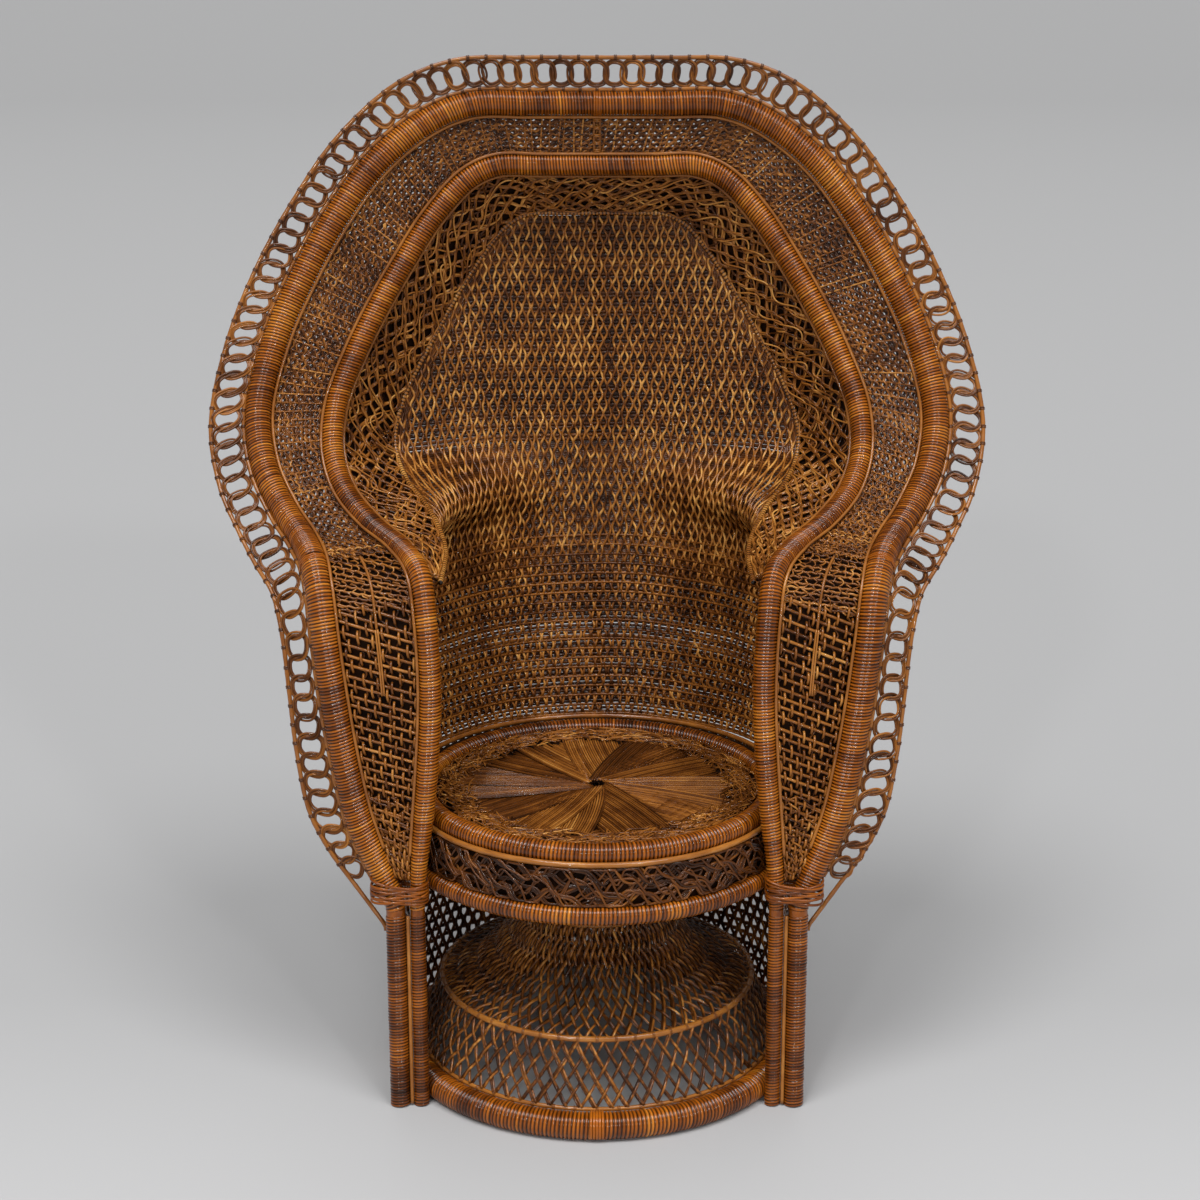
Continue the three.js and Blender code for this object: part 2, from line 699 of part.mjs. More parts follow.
function addTrimRods() {
  const inner = trimOffsets(innerRollRadius);
  const outer = trimOffsets(outerRollRadius);
  const stations = stationsBetween(-armRodEndShare, armRodEndShare);
  const fanStations = stationsBetween(-elbowShare, elbowShare);
  const rod = (name, path) => addPiece(name, bar(path.points, radiusOf(trimRodDiameter), narrowSides), amber);
  rod('inner_roll_inner_rod', besideRail(
    innerRail, frameRail, innerRail, fanStations, (s) => -inner.across(s), inner.front,
  ));
  rod('inner_roll_outer_rod', besideRail(
    innerRail, innerRail, outerRail, stations, inner.across, inner.front,
  ));
  rod('outer_roll_inner_rod', besideRail(
    outerRail, innerRail, outerRail, stations, (s) => -outer.across(s), outer.front,
  ));
}

// Lace border: a flat net of rounded gaps between the lace rods

function laceInnerPath(from, to) {
  const reach = (s) => outerRollRadius(s) + radiusOf(laceRodDiameter) + clearance;
  return besideRail(outerRail, outerRail, laceRail, stationsBetween(from, to), reach, 0);
}

// The stations that part a stretch of the lace rail into cells of one length
function laceCells(from, to) {
  const steps = 400;
  const places = Array.from({ length: steps + 1 }, (_, i) => placeAt(laceRail, shareOf(from, to, i / steps)));
  const ruler = [0];
  places.slice(1).forEach((place, i) => ruler.push(ruler[i] + place.distanceTo(places[i])));
  const count = Math.round(ruler[steps] / lacePitch);
  return Array.from({ length: count + 1 }, (_, i) => {
    if (i === count) return to;
    const target = (i / count) * ruler[steps];
    const step = Math.max(ruler.findIndex((value) => value >= target), 1);
    const share = (target - ruler[step - 1]) / (ruler[step] - ruler[step - 1]);
    return shareOf(from, to, (step - 1 + share) / steps);
  });
}

// The two long edges and the front of the net at a station
function laceEdges(inner, station) {
  const low = placeAt(inner, station);
  const high = placeAt(laceRail, station);
  const line = high.clone().sub(low).normalize();
  const reach = (rail) => {
    const lean = new THREE.Vector3().crossVectors(line, alongRail(rail, station)).length();
    return (radiusOf(laceRodDiameter) + 4 * clearance) / lean;
  };
  low.addScaledVector(line, reach(inner));
  high.addScaledVector(line, -reach(laceRail));
  const front = new THREE.Vector3().crossVectors(alongRail(laceRail, station), line).normalize();
  return { low, high, front };
}

// The gap of one cell of a net: its points, from the cell's middle, as shares of half the cell's length
// and width, and the faces round it, by the cell's four corners and then the gap's points
const laceGap = {
  shares: [[-0.72, -0.62], [-0.5, 0], [-0.72, 0.62], [0.72, 0.62], [0.5, 0], [0.72, -0.62]],
  faces: [
    [0, 4, 9], [0, 9, 1], [1, 9, 8], [1, 8, 2], [2, 8, 7],
    [2, 7, 6], [2, 6, 3], [3, 6, 5], [3, 5, 0], [0, 5, 4],
  ],
};
const diamondGap = {
  shares: [[0, -0.66], [-0.62, 0], [0, 0.66], [0.62, 0]],
  faces: [[0, 4, 1], [1, 4, 7], [1, 7, 2], [2, 7, 6], [2, 6, 3], [3, 6, 5], [3, 5, 0], [0, 5, 4]],
};

// A wall along a row of edges, each with its low and high end and its front, with a gap in every cell
function netOf(edges, gap, thickness, closed) {
  const points = [];
  const triangles = [];
  const half = radiusOf(thickness);
  const addBoth = (place, front) => {
    points.push(place.clone().addScaledVector(front, half), place.clone().addScaledVector(front, -half));
    return points.length - 2;
  };
  const quad = (a, b, c, d) => triangles.push(a, b, c, a, c, d);
  const rails = edges.map((edge) => [addBoth(edge.low, edge.front), addBoth(edge.high, edge.front)]);
  const last = closed ? edges.length : edges.length - 1;
  for (let i = 0; i < last; i += 1) {
    const next = (i + 1) % edges.length;
    const [low0, high0] = rails[i];
    const [low1, high1] = rails[next];
    const front = edges[i].front.clone().add(edges[next].front).normalize();
    const hole = gap.shares.map((shares) => addBoth(cellPlace(edges[i], edges[next], ...shares), front));
    const corners = [low0, low1, high1, high0, ...hole];
    gap.faces.forEach((face) => {
      const [a, b, c] = face.map((k) => corners[k]);
      triangles.push(a, b, c, a + 1, c + 1, b + 1);
    });
    hole.forEach((p, k) => {
      const q = hole[(k + 1) % hole.length];
      quad(p, q, q + 1, p + 1);
    });
    quad(low0, low1, low1 + 1, low0 + 1);
    quad(high1, high0, high0 + 1, high1 + 1);
  }
  if (!closed) {
    const [firstLow, firstHigh] = rails[0];
    const [lastLow, lastHigh] = rails[last];
    quad(firstHigh, firstLow, firstLow + 1, firstHigh + 1);
    quad(lastLow, lastHigh, lastHigh + 1, lastLow + 1);
  }
  return geometryOf(points, triangles);
}

function cellPlace(first, second, u, v) {
  const low = first.low.clone().lerp(second.low, (u + 1) / 2);
  const high = first.high.clone().lerp(second.high, (u + 1) / 2);
  return low.lerp(high, (v + 1) / 2);
}

function addLace() {
  const split = laceSplitShare;
  const rodRadius = radiusOf(laceRodDiameter);
  const inner = laceInnerPath(-laceNetEndShare, laceNetEndShare);
  const rod = (name, sections) => addPiece(name, loft(sections), amber);
  rod('back_lace_inner_rod', railSections(inner, rodRadius, -split, split, narrowSides));
  rod('back_lace_outer_rod', railSections(laceRail, rodRadius, -split, split, narrowSides));
  const fanEdges = laceCells(-split, split).map((station) => laceEdges(inner, station));
  addPiece('back_lace_border', netOf(fanEdges, laceGap, laceThickness, false), brown);
  [['left', -1], ['right', 1]].forEach(([name, side]) => {
    const arm = (rail, end) => {
      const sections = railSections(rail, rodRadius, ...span(side, split, end), narrowSides);
      return pastJoint(sections, side, rail, split);
    };
    rod(`${name}_arm_lace_inner_rod`, arm(inner, laceNetEndShare));
    rod(`${name}_arm_lace_outer_rod`, arm(laceRail, laceRail.stations[laceRail.stations.length - 1]));
    const cells = laceCells(...span(side, split, laceNetEndShare));
    const edges = cells.map((station) => laceEdges(inner, station));
    pastJoint(edges.map(({ low, high }) => [low, high]), side, laceRail, split);
    addPiece(`${name}_arm_lace_border`, netOf(edges, laceGap, laceThickness, false), brown);
  });
}

// Arms, posts and legs

// The stations of a stretch, in the order in which the rail runs
function span(side, from, to) {
  return side > 0 ? [from, to] : [-to, -from];
}

function addArms() {
  const foot = outerRail.stations[outerRail.stations.length - 1];
  [['left', -1], ['right', 1]].forEach(([name, side]) => {
    const roll = railSections(outerRail, outerRollRadius, ...span(side, elbowShare, foot), wideSides);
    const woven = span(side, elbowShare, armPanelEndShare);
    const panel = bandSections(innerRail, outerRail, innerRollRadius, outerRollRadius, ...woven);
    addPiece(`${name}_arm_outer_roll`, loft(pastJoint(roll, side, outerRail, elbowShare)), honey);
    addPiece(`${name}_arm_panel`, loft(pastJoint(panel, side, innerRail, elbowShare)), brown);
    addArmCentreRod(name, side);
    addFrontSupports(name, side);
    addBinding(name, side);
  });
}

function addArmCentreRod(name, side) {
  const rise = radiusOf(bandThickness) + radiusOf(armCentreRodDiameter) + 2 * clearance;
  const stations = stationsBetween(...span(side, armCentreTopShare, armCentreEndShare));
  const path = stations.map((station) => {
    const { front } = frameAt(innerRail, innerRail, outerRail, station);
    return placeAt(innerRail, station).lerp(placeAt(outerRail, station), 0.5).addScaledVector(front, rise);
  });
  addPiece(`${name}_arm_centre_rod`, bar(path, radiusOf(armCentreRodDiameter), narrowSides), amber);
}

function upright(x, y, from, to) {
  return [new THREE.Vector3(x, y, from), new THREE.Vector3(x, y, to)];
}

function addFrontSupports(name, side) {
  const top = postHeight - clearance;
  const postX = side * postHalfSpan;
  const legX = side * (postHalfSpan + legSpacing);
  const postReach = radiusOf(postDiameter) + radiusOf(legRodDiameter) + clearance;
  const legReach = radiusOf(legDiameter) + radiusOf(legRodDiameter) + clearance;
  const rodShift = (postReach ** 2 - legReach ** 2 + legSpacing ** 2) / (2 * legSpacing);
  const rodDepth = postDepth - Math.sqrt(postReach ** 2 - rodShift ** 2);
  const rodX = side * (postHalfSpan + rodShift);
  const post = bar(upright(postX, postDepth, 0, top), radiusOf(postDiameter), wideSides + 2);
  const leg = bar(upright(legX, postDepth, 0, top), radiusOf(legDiameter), wideSides + 2);
  const rod = bar(upright(rodX, rodDepth, legRodRise, top), radiusOf(legRodDiameter), narrowSides);
  addPiece(`${name}_inner_post`, post, brown);
  addPiece(`${name}_outer_leg`, leg, brown);
  addPiece(`${name}_leg_rod`, rod, amber);
}

// A loop drawn tight round both rolls at one height, its corners one per turn
function loopCorners(height, margin, corners) {
  const rolls = [
    rollAtHeight(innerRail, innerRollRadius, height),
    rollAtHeight(outerRail, outerRollRadius, height),
  ];
  return Array.from({ length: corners }, (_, i) => {
    const turn = ((i + 0.5) / corners) * 2 * Math.PI;
    const way = new THREE.Vector3(Math.cos(turn), Math.sin(turn), 0);
    const reach = rolls.map((roll) => roll.place.dot(way) + roll.radius);
    const far = reach[0] > reach[1] ? rolls[0] : rolls[1];
    return far.place.clone().addScaledVector(way, far.radius + margin);
  });
}

// The binding is a closed band: four loops of corners joined round into a hollow sleeve
function addBinding(name, side) {
  const corners = 2 * wideSides;
  const outside = bindingSlack + bindingWall;
  const loops = [
    loopCorners(bindingBottom, bindingSlack, corners),
    loopCorners(bindingBottom, outside, corners),
    loopCorners(bindingTop, outside, corners),
    loopCorners(bindingTop, bindingSlack, corners),
  ];
  const triangles = [];
  loops.forEach((_, row) => {
    for (let i = 0; i < corners; i += 1) {
      const a = row * corners + i;
      const b = row * corners + (i + 1) % corners;
      const up = ((row + 1) % loops.length) * corners - row * corners;
      triangles.push(a, b, b + up, a, b + up, a + up);
    }
  });
  addPiece(`${name}_leg_binding`, geometryOf(loops.flat(), triangles).scale(side, 1, 1), amber);
}

// Rear skirt and poles

function skirtRadiusAt(height) {
  if (height < apronRingHeight) return shareOf(skirtFootRadius, skirtApronRadius, height / apronRingHeight);
  const share = (height - apronRingHeight) / (skirtTopHeight - apronRingHeight);
  return shareOf(skirtApronRadius, skirtTopRadius, share);
}

// The turn from straight back at which the skirt meets the post, less the room the post takes
function skirtEndTurn(radius, reach) {
  const place = Math.hypot(postHalfSpan, postDepth);
  const cosine = (place ** 2 + radius ** 2 - reach ** 2) / (2 * place * radius);
  const room = Math.abs(place - radius) < reach ? Math.acos(Math.min(cosine, 1)) : 0;
  return Math.PI / 2 + Math.atan2(-postDepth, postHalfSpan) - room;
}

function aroundBack(radius, height, turn) {
  return new THREE.Vector3(radius * Math.sin(turn), radius * Math.cos(turn), height);
}

function addSkirt() {
  const footRod = radiusOf(skirtRodDiameter);
  const topRod = radiusOf(skirtTopRodDiameter);
  const low = 2 * footRod + 2 * clearance;
  const high = skirtTopHeight - topRod - clearance;
  const profile = wallProfile(
    [[skirtRadiusAt(low), low], [skirtApronRadius, apronRingHeight], [skirtRadiusAt(high), high]],
    skirtThickness,
  );
  const reach = radiusOf(postDiameter) + clearance + radiusOf(skirtThickness);
  const turn = skirtEndTurn(skirtFootRadius, reach + footRod);
  const turns = Array.from({ length: skirtSegments + 1 }, (_, i) => ((2 * i) / skirtSegments - 1) * turn);
  const wall = turns.map((angle) => profile.map(([radius, height]) => aroundBack(radius, height, angle)));
  addPiece('rear_skirt', loft(wall), darkBrown);
  const foot = turns.map((angle) => aroundBack(skirtFootRadius, footRod, angle));
  addPiece('rear_skirt_bottom_rod', bar(foot, footRod, wideSides), brown);
  const top = turns.map((angle) => aroundBack(skirtTopRadius, skirtTopHeight, angle));
  addPiece('rear_skirt_top_rod', bar(top, topRod, 6), brown);
}

// The pole leans on the outside of the skirt, the panel and the fan's upper edge
function addRearPole() {
  const reach = radiusOf(rearPoleDiameter) + 2 * clearance;
  const skirtReach = radiusOf(skirtThickness) + reach;
  const panelReach = radiusOf(panelThickness) + reach + clearance;
  const behindRoll = placeAt(outerRail, 0);
  const behindPanel = (height) => new THREE.Vector3(0, panelBackDepth(height) + panelReach, height);
  const path = [
    aroundBack(skirtFootRadius + radiusOf(skirtRodDiameter) + reach, 0, 0),
    aroundBack(skirtFootRadius + radiusOf(skirtRodDiameter) + reach, skirtRodDiameter, 0),
    aroundBack(skirtApronRadius + skirtReach, apronRingHeight, 0),
    aroundBack(skirtTopRadius + radiusOf(skirtTopRodDiameter) + reach, skirtTopHeight, 0),
    ...polePanelShares.map(heightAt).map(behindPanel),
    new THREE.Vector3(0, backDepth + radiusOf(frameRodDiameter) + reach, heightAt(frameFanShares[0][2])),
    new THREE.Vector3(0, behindRoll.y + radiusOf(outerRollTopDiameter) + reach, behindRoll.z),
  ];
  addPiece('rear_centre_pole', bar(path, radiusOf(rearPoleDiameter), wideSides), brown);
}

addBase();
addPedestal();
addSeat();
addRails();
addPanel();
addTrimRods();
addLace();
addArms();
addSkirt();
addRearPole();

// The origin is under the middle of the whole chair, on the floor
const bounds = new THREE.Box3().setFromObject(chair);
chair.position.y = -(bounds.min.y + bounds.max.y) / 2;
chair.updateMatrixWorld(true);

export default chair;
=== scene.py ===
import math
from collections import namedtuple

import bpy
import numpy as np
from mathutils import Euler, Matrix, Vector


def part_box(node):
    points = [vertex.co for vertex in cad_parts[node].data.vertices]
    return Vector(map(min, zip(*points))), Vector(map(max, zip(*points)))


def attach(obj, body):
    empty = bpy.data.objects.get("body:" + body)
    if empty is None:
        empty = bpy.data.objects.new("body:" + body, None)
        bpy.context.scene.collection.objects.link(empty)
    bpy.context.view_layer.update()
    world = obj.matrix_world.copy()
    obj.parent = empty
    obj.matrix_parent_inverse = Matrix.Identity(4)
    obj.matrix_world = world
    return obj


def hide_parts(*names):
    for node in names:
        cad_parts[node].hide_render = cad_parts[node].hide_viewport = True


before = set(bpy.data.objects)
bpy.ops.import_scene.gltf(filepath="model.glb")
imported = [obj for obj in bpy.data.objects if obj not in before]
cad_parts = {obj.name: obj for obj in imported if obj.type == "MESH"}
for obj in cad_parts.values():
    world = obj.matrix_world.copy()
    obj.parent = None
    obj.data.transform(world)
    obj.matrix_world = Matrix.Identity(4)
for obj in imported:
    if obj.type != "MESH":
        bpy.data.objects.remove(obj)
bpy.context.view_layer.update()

# The camera stands where the photograph was taken, 1.7 m up and 3.3 m in front of the seat's axis
SEAT_LOW, SEAT_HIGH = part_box("seat_ring")
AXIS_Y = (SEAT_LOW[1] + SEAT_HIGH[1]) / 2
CAMERA_DISTANCE = 3.332
CAMERA_HEIGHT = 1.723
CAMERA_PITCH = math.radians(16.85)
CAMERA_LENS = 72.0
SENSOR_WIDTH = 36.0
CAMERA_SHIFT = 0.0025

# Sizes of the chair in metres; the lattice's foot and the flare's top have a radius and a height
BACK_HEIGHT = 1.464
FAN_HALF_WIDTH = 0.567
BACK_DEPTH = 0.345
SEAT_HEIGHT = 0.424
POST_HALF_SPAN = 0.256
POST_DIAMETER = 0.023
LEG_DIAMETER = 0.0294
LEG_SPACING = 0.031
LEG_ROD_DIAMETER = 0.0056
BASE_RING_RADIUS = 0.284
BASE_RING_DIAMETER = 0.040
BASE_RING_FLAT = 0.0008
BASE_TRIM_RADIUS = 0.2686
BASE_TRIM_DIAMETER = 0.0064
CLEARANCE = 0.0003
MID_RING_RADIUS = 0.234
MID_RING_HEIGHT = 0.129
MID_RING_DIAMETER = 0.009
WAIST_RADIUS = 0.100
WAIST_HEIGHT = 0.245
WAIST_BEND = 0.014
LATTICE_FOOT = (0.2690, 0.0395)
FLARE_TOP = (0.204, 0.3997)
TOP_RING_DIAMETER = 0.012
SEAT_RING_RADIUS = 0.255
SEAT_RING_DIAMETER = 0.031
SEAT_PANEL_TOP = 0.4315
SEAT_HOLE_RADIUS = 0.015
SEAT_RIM_RADIUS = SEAT_RING_RADIUS - SEAT_RING_DIAMETER / 2 - 0.001
SEAT_ROD_DIAMETER = 0.0088
SEAT_ROD_DROP = 0.0101
APRON_RING_RADIUS = 0.277
APRON_RING_DIAMETER = 0.0276
APRON_RING_HEIGHT = 0.340
APRON_TOP_RADIUS = 0.2725
INNER_ROLL_DIAMETER = 0.033
INNER_ARM_ROLL_DIAMETER = 0.031
OUTER_ROLL_TOP_DIAMETER = 0.036
OUTER_ROLL_DIAMETER = 0.039
ARM_ROLL_DIAMETER = 0.041
FRAME_ROD_DIAMETER = 0.008
TRIM_ROD_DIAMETER = 0.007
TRIM_RISE = 0.0072
TRIM_CANE_SHARE = 0.32
LACE_ROD_DIAMETER = 0.0064
LACE_PITCH = 0.027
LACE_TUCK = 0.0014
LACE_RING_REACH = 0.66
LACE_RING_GAP = 0.0006
LACE_FULLNESS = 0.80
LACE_TWIST = 0.0021
LACE_REED_WIDTH = 0.0034
LACE_REED_HEIGHT = 0.0030
SKIRT_FOOT_RADIUS = 0.311
SKIRT_APRON_RADIUS = 0.296
SKIRT_TOP_RADIUS = 0.281
SKIRT_TOP_HEIGHT = 0.436
SKIRT_ROD_DIAMETER = 0.009
SKIRT_TOP_ROD_DIAMETER = 0.008
REAR_POLE_DIAMETER = 0.018

# Stations of the rails, from the crown outwards, as shares of the half width, the depth and the height
LACE_FAN_SHARES = [
    (0, .858, 1), (.194, .858, 1), (.362, .858, .997), (.511, .847, .967), (.671, .821, .893),
    (.785, .783, .809), (.885, .736, .715), (.964, .669, .610), (1, .566, .503), (.969, .468, .425),
    (.917, .386, .376), (.868, .310, .340), (.816, .235, .308),
]
LACE_ARM_SHARES = [
    (.628, .188, .282), (.603, .160, .245), (.574, .122, .171), (.547, .103, .095),
    (.496, .084, .016), (.406, .065, -.091), (.290, .050, -.210), (.175, .027, -.320),
]
OUTER_FAN_SHARES = [
    (0, .868, .936), (.177, .868, .936), (.326, .864, .935), (.440, .853, .912), (.572, .824, .857),
    (.678, .792, .783), (.768, .745, .699), (.838, .688, .615), (.880, .605, .520), (.860, .518, .451),
    (.803, .433, .397), (.749, .348, .368), (.711, .245, .349),
]
OUTER_ARM_SHARES = [
    (.433, .169, .315), (.404, .122, .257), (.367, .093, .176), (.321, .069, .094),
    (.262, .050, .014), (.203, .033, -.080), (.136, .015, -.190),
]
INNER_FAN_SHARES = [
    (0, .887, .849), (.150, .887, .849), (.263, .881, .849), (.340, .873, .831), (.429, .849, .781),
    (.503, .811, .721), (.579, .768, .652), (.639, .720, .587), (.684, .666, .523), (.690, .594, .464),
    (.655, .509, .416), (.580, .405, .381), (.489, .263, .363),
]
INNER_ARM_SHARES = [
    (-.025, .150, .344), (-.057, .093, .290), (-.073, .061, .196), (-.060, .037, .101),
    (-.035, .024, .018), (-.016, .010, -.083), (-.003, .002, -.204),
]
FRAME_FAN_SHARES = [
    (0, 1, .772), (.105, 1, .772), (.180, .994, .771), (.241, .987, .755), (.321, .972, .702),
    (.392, .949, .642), (.456, .915, .580), (.514, .877, .520), (.544, .836, .466), (.538, .792, .432),
    (.501, .679, .406), (.441, .547, .385), (.386, .349, .354),
]
FRAME_ARM_SHARES = [(-.116, .160, .332)]
FOOT_SHARES = (-.26, -.29)
POLE_PANEL_SHARES = (.05, .1, .2, .35, .5, .65)
ELBOW_STATION = 12
LACE_SPLIT_STATION = 12.5
FRAME_END_STATION = 13
MIDDLE_END_STATION = FRAME_END_STATION - 0.1
ARM_SPLIT_STATION = 13.6
ARM_WEAVE_END_STATION = 18.7
ARM_END_STATION = 18
LACE_END_STATION = 18.6
ARM_ROLL_FOOT_STATION = 20.2
# Where and how widely the inner roll's colour is painted darker at each elbow, a painted shade, and how
# widely the outer roll is darker at its crown
SHADED_ELBOW_STATION = 11.2
SHADED_ELBOW_REACH = 1.1
DARK_CROWN_REACH = 2.5
FAN_SPAN = (-ELBOW_STATION, ELBOW_STATION)
SIDES = (("left", -1), ("right", 1))

# One winding of reed: how far along it each ring of points lies, and how high that ring rises
WRAP_SHARES = (0.0, 0.16, 0.36, 0.64, 0.84)
WRAP_RISES = (0.0, 0.6, 1.0, 1.0, 0.6)
WRAP_DEPTH = 0.10
WRAP_TILT = 0.10
WRAP_JITTER = 0.04
WRAP_SWELL = 0.012
WRAP_SWING = 0.10
WRAP_PATCH = 7
RING_PITCH = 0.0056
KNOT_GAP = 0.0036
KNOT_SWELL = 0.10
KNOT_LENGTH = 0.004

# Weaves: a cord has a thickness, a rise over the face and a tone from 0, dark, to 1, light
Cord = namedtuple("Cord", "thickness rise tone")
OUTER_ROW_PITCH = 0.0066
PANEL_PITCH = 0.0066
PANEL_ROW_PITCH = 0.0058
PANEL_CORD = Cord(0.0038, 0.0016, 0.57)
PANEL_CORD_HEIGHT = 0.0032
PANEL_SWAY = 0.0024
PANEL_EYE = 0.030
PANEL_OPEN_HEIGHTS = (0.68, 0.74)
PANEL_FLARE_HEIGHTS = (0.66, 0.87)
PANEL_EDGE_HEIGHTS = (0.78, 0.76)
PANEL_EDGE_CORDS = 6
PANEL_EDGE_PITCH = 0.0031
ARM_SLOPES = {"left": 0.23, "right": 0.42}
SKIRT_CANE_PITCH = 0.0095
SKIRT_WAVES = 12
SKIRT_ROWS = 24
SKIRT_SWAY = 0.0085
SEAT_WEDGES = 15
SEAT_WEDGE_LAP = 1.4
SEAT_WEDGE_EDGES = (0.185, 0.222)
SEAT_WEDGE_TONES = (0.20, 0.50)
SEAT_WEDGE_BENDS = (0.08, 0.15)
SEAT_STRIP_WIDTH = 0.0036
SEAT_STRIP_LEAST = 0.012
SEAT_RIM_CORDS = 110
SEAT_RIM_LAYERS = 8
SEAT_RIM_START = 0.182
SEAT_RIM_RAGGED = 0.038
SEAT_RIM_LENGTHS = (0.014, 0.044)
LATTICE_CORD = Cord(0.0040, 0.0020, 0.42)
# A dark cord beside each lattice cord: painted shade that outlines it
LATTICE_SHADE_CORD = Cord(0.0040, 0.0008, 0.10)
LATTICE_CANES = 76
FLARE_CANES = 50
RING_TIES = 54
BINDING_LOOPS = 9
BINDING_TILT = 0.010

# Materials, floor and light; a sun has a strength, an angular size, an azimuth and a height in degrees
FIBRE_SCALE = (60, 9, 31)
PATCH_SCALE = 16.0
STREAK_STRENGTH = 0.45
PATCH_STRENGTH = 0.7
# How dark the painted shade in the grooves between wraps goes
GROOVE_PAINTED_SHADE = 0.02
FLOOR_HALF = 300.0
# Greys of the floor by depth: painted light, lighter in front of the chair and darker far behind it
FLOOR_REACHES = (-0.5, 0.15, 4.0, 16.0)
FLOOR_PAINTED_FALLOFF = (0.475, 0.39, 0.375, 0.31)
WORLD_STRENGTH = 0.22
SUNS = (
    ("key", 1.55, 24, -32, 64), ("fill", 1.15, 24, 38, 62), ("front_left", 0.42, 4, -18, 25),
    ("front_right", 0.38, 4, 26, 25), ("top", 0.5, 70, 0, 78), ("back", 0.45, 50, 180, 45),
)

random = np.random.default_rng(7)


def camera():
    data = bpy.data.cameras.new("camera")
    data.lens = CAMERA_LENS
    data.sensor_width = SENSOR_WIDTH
    data.sensor_fit = "HORIZONTAL"
    data.shift_x = CAMERA_SHIFT
    data.clip_end = 200
    eye = bpy.data.objects.new("camera", data)
    eye.location = (0, AXIS_Y - CAMERA_DISTANCE, CAMERA_HEIGHT)
    eye.rotation_euler = Euler((math.pi / 2 - CAMERA_PITCH, 0, 0))
    bpy.context.scene.collection.objects.link(eye)
    bpy.context.scene.camera = eye


camera()


# Vectors, curves and frames

def unit(vectors):
    return vectors / np.maximum(np.linalg.norm(vectors, axis=-1, keepdims=True), 1e-9)


def smoothstep(value, low, high):
    share = np.clip((value - low) / (high - low), 0, 1)
    return share * share * (3 - 2 * share)


def height_at(share):
    share = np.asarray(share, float)
    below = SEAT_HEIGHT * (1 + share)
    return np.where(share < 0, below, SEAT_HEIGHT + share * (BACK_HEIGHT - SEAT_HEIGHT))


POST_REACH = BASE_RING_RADIUS + BASE_RING_DIAMETER / 2 + CLEARANCE + POST_DIAMETER / 2
POST_DEPTH = -math.sqrt(POST_REACH ** 2 - POST_HALF_SPAN ** 2)
POST_TOP = float(height_at(FOOT_SHARES[1]))


def places(rows, from_post=False):
    """Turns rows of shares into points of the chair."""
    rows = np.array(rows, float)
    if from_post:
        x = POST_HALF_SPAN + rows[:, 0] * (FAN_HALF_WIDTH - POST_HALF_SPAN)
    else:
        x = rows[:, 0] * FAN_HALF_WIDTH
    y = AXIS_Y + POST_DEPTH + rows[:, 1] * (BACK_DEPTH - POST_DEPTH)
    return np.column_stack([x, y, height_at(rows[:, 2])])


def catmull_rom(points, time):
    """A centripetal curve through the points, one unit of time for each."""
    ends = np.vstack([2 * points[0] - points[1], points, 2 * points[-1] - points[-2]])
    step = np.clip(np.floor(time).astype(int), 0, len(points) - 2)
    share = (time - step)[:, None]
    a, b, c, d = (ends[step + k] for k in range(4))
    ab, bc, cd = (np.sqrt(np.linalg.norm(q - p, axis=1))[:, None] for p, q in ((a, b), (b, c), (c, d)))
    first = ((b - a) / ab - (c - a) / (ab + bc) + (c - b) / bc) * bc
    last = ((c - b) / bc - (d - b) / (bc + cd) + (d - c) / cd) * bc
    square = -3 * b + 3 * c - 2 * first - last
    cube = 2 * b - 2 * c + first + last
    return b + share * (first + share * (square + share * cube))


class Rail:
    """A line from the left post over the top to the right post, read by station."""

    def __init__(self, fan, arm, *foot):
        right = np.vstack([places(fan), places(arm, True), *foot])
        left = right[:0:-1] * (-1, 1, 1)
        self.points = np.vstack([left, right])
        self.last = len(right) - 1

    def __call__(self, station):
        station = np.asarray(station, float)
        flat = catmull_rom(self.points, station.ravel() + self.last)
        return flat.reshape(station.shape + (3,))

    def along(self, station):
        step = 1e-3
        return unit(self(np.asarray(station) + step) - self(np.asarray(station) - step))


def foot_points(offset):
    return np.array([[POST_HALF_SPAN + offset, AXIS_Y + POST_DEPTH, height_at(s)] for s in FOOT_SHARES])


lace_rail = Rail(LACE_FAN_SHARES, LACE_ARM_SHARES)
outer_rail = Rail(OUTER_FAN_SHARES, OUTER_ARM_SHARES, foot_points(LEG_SPACING))
inner_rail = Rail(INNER_FAN_SHARES, INNER_ARM_SHARES, foot_points(0))
frame_rail = Rail(FRAME_FAN_SHARES, FRAME_ARM_SHARES)


def inner_radius(station):
    reach = np.abs(station)
    arm = INNER_ROLL_DIAMETER + np.clip((reach - ELBOW_STATION) / 2, 0, 1) * (
        INNER_ARM_ROLL_DIAMETER - INNER_ROLL_DIAMETER)
    return (arm + smoothstep(reach, 16, 19) * (POST_DIAMETER - arm)) / 2


def outer_radius(station):
    reach = np.abs(station)
    fan = OUTER_ROLL_TOP_DIAMETER + np.clip(reach / 5, 0, 1) * (OUTER_ROLL_DIAMETER - OUTER_ROLL_TOP_DIAMETER)
    arm = fan + smoothstep(reach, ELBOW_STATION - 1, ELBOW_STATION + 2) * (ARM_ROLL_DIAMETER - fan)
    return (arm + smoothstep(reach, 17, 20) * (LEG_DIAMETER - arm)) / 2


def frame_radius(station):
    return np.full(np.shape(station), FRAME_ROD_DIAMETER / 2)


